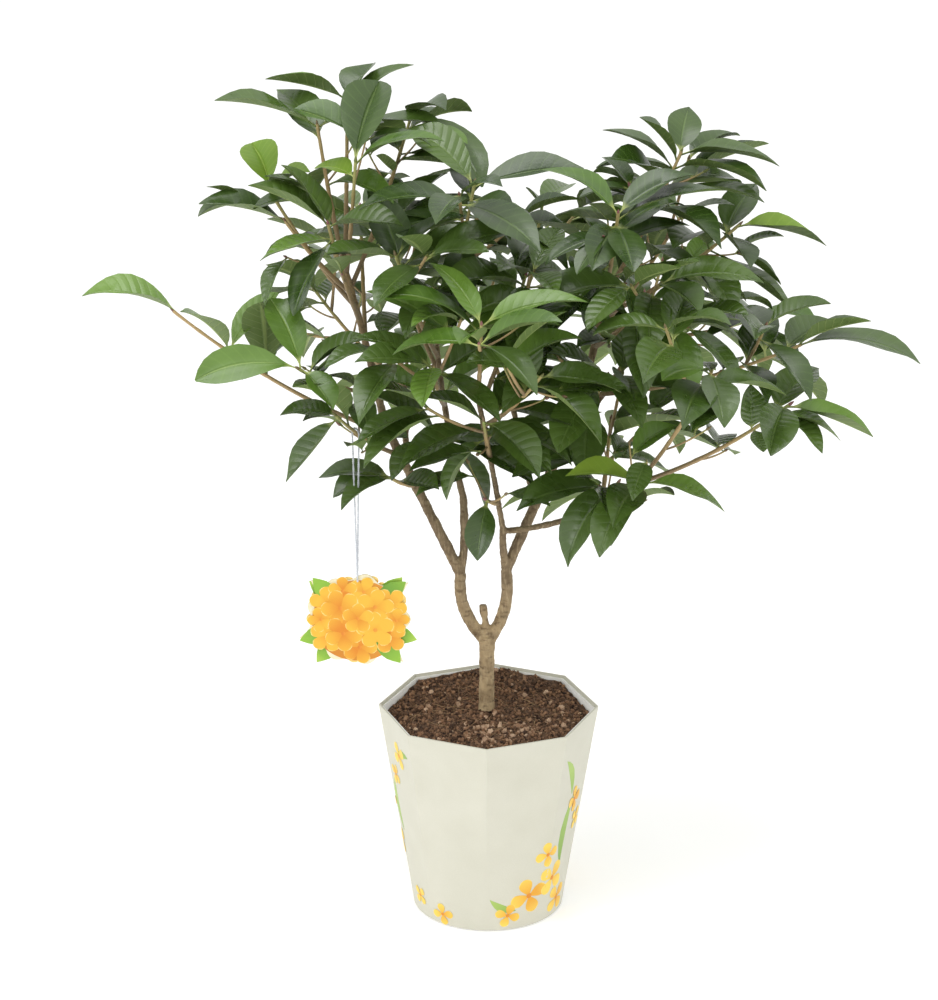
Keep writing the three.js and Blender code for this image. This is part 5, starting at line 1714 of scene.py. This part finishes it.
def liner_plastic():
    """Moulded polypropylene: thin and nearly white, with a soft gloss."""
    return grained("moulded_polypropylene_liner", "#F4F4F0", "#FCFCFA", size=6, roughness=0.4, depth=0.05)


def moist_soil():
    """Moist coir and peat: dark brown with lighter fibre, dull and rough."""
    return grained("moist_coir_and_peat", "#2B1C14", "#83634B", size=1.7,
                   roughness=0.9, depth=1.6, detail=8.0)


def peat_crumbs():
    """Crumbs of peat: from nearly black where wet to tan where dry, crumb by crumb."""
    return grained("peat_crumbs", "#2E1D15", "#A07A5C", size=1.2, roughness=0.9, depth=0.4, tinted=True)


def bark_chips():
    """Composted pine bark: pale pinkish-brown bits that stand out from the soil."""
    return grained("pine_bark_chips", "#8A6548", "#D2B295", size=1.0, roughness=0.8, depth=0.3, tinted=True)


def coir():
    """Coir fibres: dry, straw-brown hairs with no gloss."""
    return grained("coir_fibres", "#7A5A3E", "#B89A74", size=1.0, roughness=0.8, depth=0.1, tinted=True)


def tag_board():
    """Die-cut board: the cream edge and margin of the tag round its print, smooth and dull."""
    return grained("die_cut_board", "#E4D9B4", "#F0E6C4", size=4, roughness=0.6, depth=0.05)


def string_cotton():
    """Twisted cotton: a cool white, dull, with the fuzz of its fibres, drawn coarse enough to show."""
    return grained("twisted_cotton_string", "#C2C7CE", "#E0E3E8", size=0.5, roughness=0.85, depth=0.1)


def floor_acrylic():
    """White acrylic lit from below: an even pale ground that takes only a faint shadow."""
    glow = {"Emission Color": "#FFFFFF", "Emission Strength": FLOOR_GLOW}
    return grained("backlit_white_acrylic", "#F3F3F1", "#F5F5F4", size=300, roughness=0.9, depth=0.0, **glow)


def sleeve_board():
    """Coated white board: a warm white with faint paper cloud and the slight waviness of pressed card."""
    material, tree, place = new_material("coated_white_board")
    cloud = add_node(tree, "TexNoise", {"Vector": place, "Scale": noise_of(30), "Detail": 2.0})
    # Paper fibres, drawn coarser than the real ones so that they show
    fibre = add_node(tree, "TexNoise", {"Vector": place, "Scale": noise_of(0.9), "Detail": 3.0})
    share = add_node(tree, "Math", [cloud, 0.6, 0.0], operation="MULTIPLY_ADD")
    mottled = add_node(tree, "Math", [fibre, 0.4, share], operation="MULTIPLY_ADD")
    colour = add_node(tree, "Mix", {0: mottled, 6: "#C6C4B3", 7: "#D8D6C8"}, out=2, data_type="RGBA")
    height = add_node(tree, "Math", [cloud, 3.0, fibre], operation="MULTIPLY_ADD")
    surface(tree, {"Base Color": colour, "Roughness": 0.55, "IOR": 1.5}, height, depth=0.12)
    return material


def offset_ink(name, foot, tip, margin, edge):
    """Offset ink on card, half glossy: it runs from one colour at a shape's foot to another at its tip.

    A paler margin starts at an edge, so that petals which overlap stay apart to the eye.
    """
    material, tree, place = new_material(name)
    along = add_node(tree, "Attribute", out="Fac", attribute_name="along")
    aside = add_node(tree, "Attribute", out="Fac", attribute_name="aside")
    tone = add_node(tree, "Attribute", out="Fac", attribute_name="tone")
    blend = add_node(tree, "Math", [along, tone], operation="ADD")
    share = add_node(tree, "MapRange", [blend, 0.2, 1.3])
    ink = add_node(tree, "Mix", {0: share, 6: foot, 7: tip}, out=2, data_type="RGBA")
    outer = add_node(tree, "Math", [aside, along], operation="MULTIPLY")
    rim = add_node(tree, "MapRange", [outer, edge - 0.15, edge, 0.0, 0.8])
    colour = add_node(tree, "Mix", {0: rim, 6: ink, 7: margin}, out=2, data_type="RGBA")
    # The dots of the print, drawn coarser than the real ones so that they show
    dots = add_node(tree, "TexNoise", {"Vector": place, "Scale": noise_of(0.8)})
    surface(tree, {"Base Color": colour, "Roughness": 0.5, "IOR": 1.5}, dots, depth=0.05)
    return material


def keep(piece, slot_name, *nodes):
    """The piece moves with the part and stands for its solids, which are hidden. The slot's name is not
    used.
    """
    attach(piece, "root")
    if nodes:
        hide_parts(*nodes)


def keep_prints(slot_name, prints):
    """Every kind of printed shape as a piece of its own, in its own ink."""
    for name, skins in prints.items():
        piece = mesh_of_skins(name, skins, [offset_ink(*INKS[name])], smooth=PRINT_SMOOTHING)
        keep(piece, slot_name)


def dress_crown(limbs):
    """Leaves, twigs and buds for every mass, in joined pieces of one kind each."""
    twigs = twigs_of_solids(limbs)
    leaves = swing_aside(reshaped(leaves_of_solids(twigs)))
    fine_twigs, fine_leaves = finer_growth(limbs, twigs, leaves)
    twigs += fine_twigs
    leaves += fine_leaves
    masses = [f"foliage_{name}" for name in MASSES]
    underside = leaf_underside()
    for kind, greens in LEAF_GREENS.items():
        upper = leaf_upper(f"osmanthus_leaf_{kind}", *greens)
        skins = [leaf_skin(leaf) for leaf in leaves if leaf_kind(leaf) == kind]
        piece = mesh_of_skins(f"leaves_{kind}", skins, [upper, underside], sides=LEAF_SIDES)
        keep(piece, "leaves", *masses)
    stems = [twig_skin(twig) for twig in twigs]
    keep(mesh_of_skins("leafy_twigs", stems, [young_bark()]), "bark", *masses)
    buds = [bud_skin(twig) for twig in twigs]
    keep(mesh_of_skins("shoot_buds", buds, [bud_scales()]), "leaves")


def dress_pot():
    """Sleeve, liner, and the soil with what lies in it."""
    keep(pot_wall("card_sleeve", 0, 0, POT_HEIGHT, CARD, sleeve_board()), "sleeve_card", "pot_sleeve")
    top = POT_HEIGHT - LINER_RIM_DROP
    liner = pot_wall("plastic_liner", CARD + GAP, 0, top, LINER_WALL, liner_plastic(), floor=True)
    keep(liner, "liner_plastic", "pot_liner")
    keep(soil_bed(moist_soil()), "potting_soil", "soil")
    crumbs = strewn(CRUMBS, CRUMB_SIZES, CRUMB_SEED)
    keep(mesh_of_skins("soil_crumbs", crumbs, [peat_crumbs()], smooth=LUMP_SMOOTHING), "potting_soil")
    chips = strewn(BARK_CHIPS, CHIP_SIZES, CHIP_SEED, CHIP_HEAP, HEAPED_CHIPS)
    keep(mesh_of_skins("soil_bark_chips", chips, [bark_chips()], smooth=LUMP_SMOOTHING), "potting_soil")
    keep(mesh_of_skins("soil_fibres", fibres(FIBRE_SEED), [coir()]), "potting_soil")


def dress_sleeve():
    """The print: sprays of plain four-petalled blossom and leaf blades."""
    petals, hearts, blades = [], [], []
    for i, (turn, height, size, spin) in enumerate(SLEEVE_BLOSSOMS):
        place = on_sleeve(turn, height)
        level = INK / 2 + SLEEVE_BLOSSOM_STEP * i
        tone = chance(i, OF_TONE)
        petals += blossom(place, 0, 0, size, spin, level, SLEEVE_PETALS, tone, SLEEVE_FULLNESS)
        hearts.append(heart(place, 0, 0, size * SLEEVE_HEART, level + INK / 2))
    for i, (turn, height, length, width, heading, bend) in enumerate(SLEEVE_BLADES):
        place, level = on_sleeve(turn, height), INK / 4 + INK_STEP * i
        tone = chance(i, OF_ROLL)
        blades.append(printed(place, (0, 0), heading, length, width, BLADE_ROWS, level, bend, tone))
    keep_prints("sleeve_card", {
        "sleeve_print_petals": petals,
        "sleeve_print_hearts": hearts,
        "sleeve_print_blades": blades,
    })


def dress_tag(limbs):
    """The tag's card keeps its solid. Print goes on both faces, and a two-ply string holds it."""
    place, radius, along, hole = tag_hang(limbs)
    centre = hole - UP * TAG_HOLE_HEIGHT
    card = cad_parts["tag_card"]
    card.data.materials.clear()
    card.data.materials.append(tag_board())
    grounds, petals, hearts, leaves = [], [], [], []
    for side in (1, -1):
        face = on_tag(centre, side)
        start = (-TAG_GROUND[0] / 2, -TAG_GROUND_DROP)
        grounds.append(printed(face, start, 0, *TAG_GROUND, GROUND_ROWS, INK / 2, tone=TAG_GROUND_TONE))
        for i, (angle, foot, length) in enumerate(TAG_LEAVES):
            heading = math.radians(angle)
            start = (foot * math.cos(heading), foot * math.sin(heading))
            level = TAG_LEAF_LEVEL + i * INK_STEP
            leaves.append(printed(face, start, angle, length, TAG_LEAF_WIDTH, TAG_LEAF_ROWS, level,
                                  TAG_LEAF_BEND, chance(angle)))
        for i, (x, y, size, spin, tone) in enumerate(TAG_BLOSSOMS):
            level = TAG_BLOSSOM_LEVEL + TAG_BLOSSOM_STEP * i
            petals += blossom(face, x, y, size, spin, level, TAG_PETALS, tone, TAG_FULLNESS)
            hearts.append(heart(face, x, y, size * TAG_HEART, level + TAG_BLOSSOM_STEP, tone))
    keep_prints("tag_card", {
        "tag_print_ground": grounds,
        "tag_print_petals": petals,
        "tag_print_hearts": hearts,
        "tag_print_leaves": leaves,
    })
    plies = string_plies(string_path(place, radius, along, hole))
    keep(mesh_of_skins("tag_string_plies", plies, [string_cotton()]), "string", "tag_string")


def set_stage():
    """A pale floor, soft studio light from above and in front, and the camera."""
    clear_selection()
    bpy.ops.mesh.primitive_plane_add(size=FLOOR_WIDTH * MM, location=(0, 0, -FLOOR_DROP * MM))
    floor = bpy.context.object
    floor.name = "studio_floor"
    floor.data.materials.append(floor_acrylic())
    bpy.context.scene.view_settings.view_transform = "Standard"
    world = bpy.data.worlds.new("studio")
    bpy.context.scene.world = world
    world.use_nodes = True
    sky = world.node_tree.nodes["Background"]
    sky.inputs["Color"].default_value = srgb("#FFFFFF")
    sky.inputs["Strength"].default_value = SKY_STRENGTH
    for name, place, size, power in STUDIO_LIGHTS:
        clear_selection()
        bpy.ops.object.light_add(type="AREA", location=[value * MM for value in place])
        light = bpy.context.object
        light.name = name
        light.data.shape = "DISK"
        light.data.size = size * MM
        light.data.energy = power
        aim = Vector(LIGHT_AIM) - Vector(place)
        light.rotation_euler = aim.to_track_quat("-Z", "Y").to_euler()
    bpy.ops.object.camera_add(location=[value * MM for value in CAMERA_PLACE])
    camera = bpy.context.object
    camera.rotation_euler = (math.radians(90 - CAMERA_PITCH), 0, 0)
    camera.data.lens = CAMERA_LENS
    camera.data.sensor_width = CAMERA_SENSOR
    bpy.context.scene.camera = camera


limbs = grow_limbs()
set_stage()
keep(trunk_and_boughs(limbs), "bark", "trunk", *LIMBS)
dress_crown(limbs)
dress_pot()
dress_sleeve()
dress_tag(limbs)
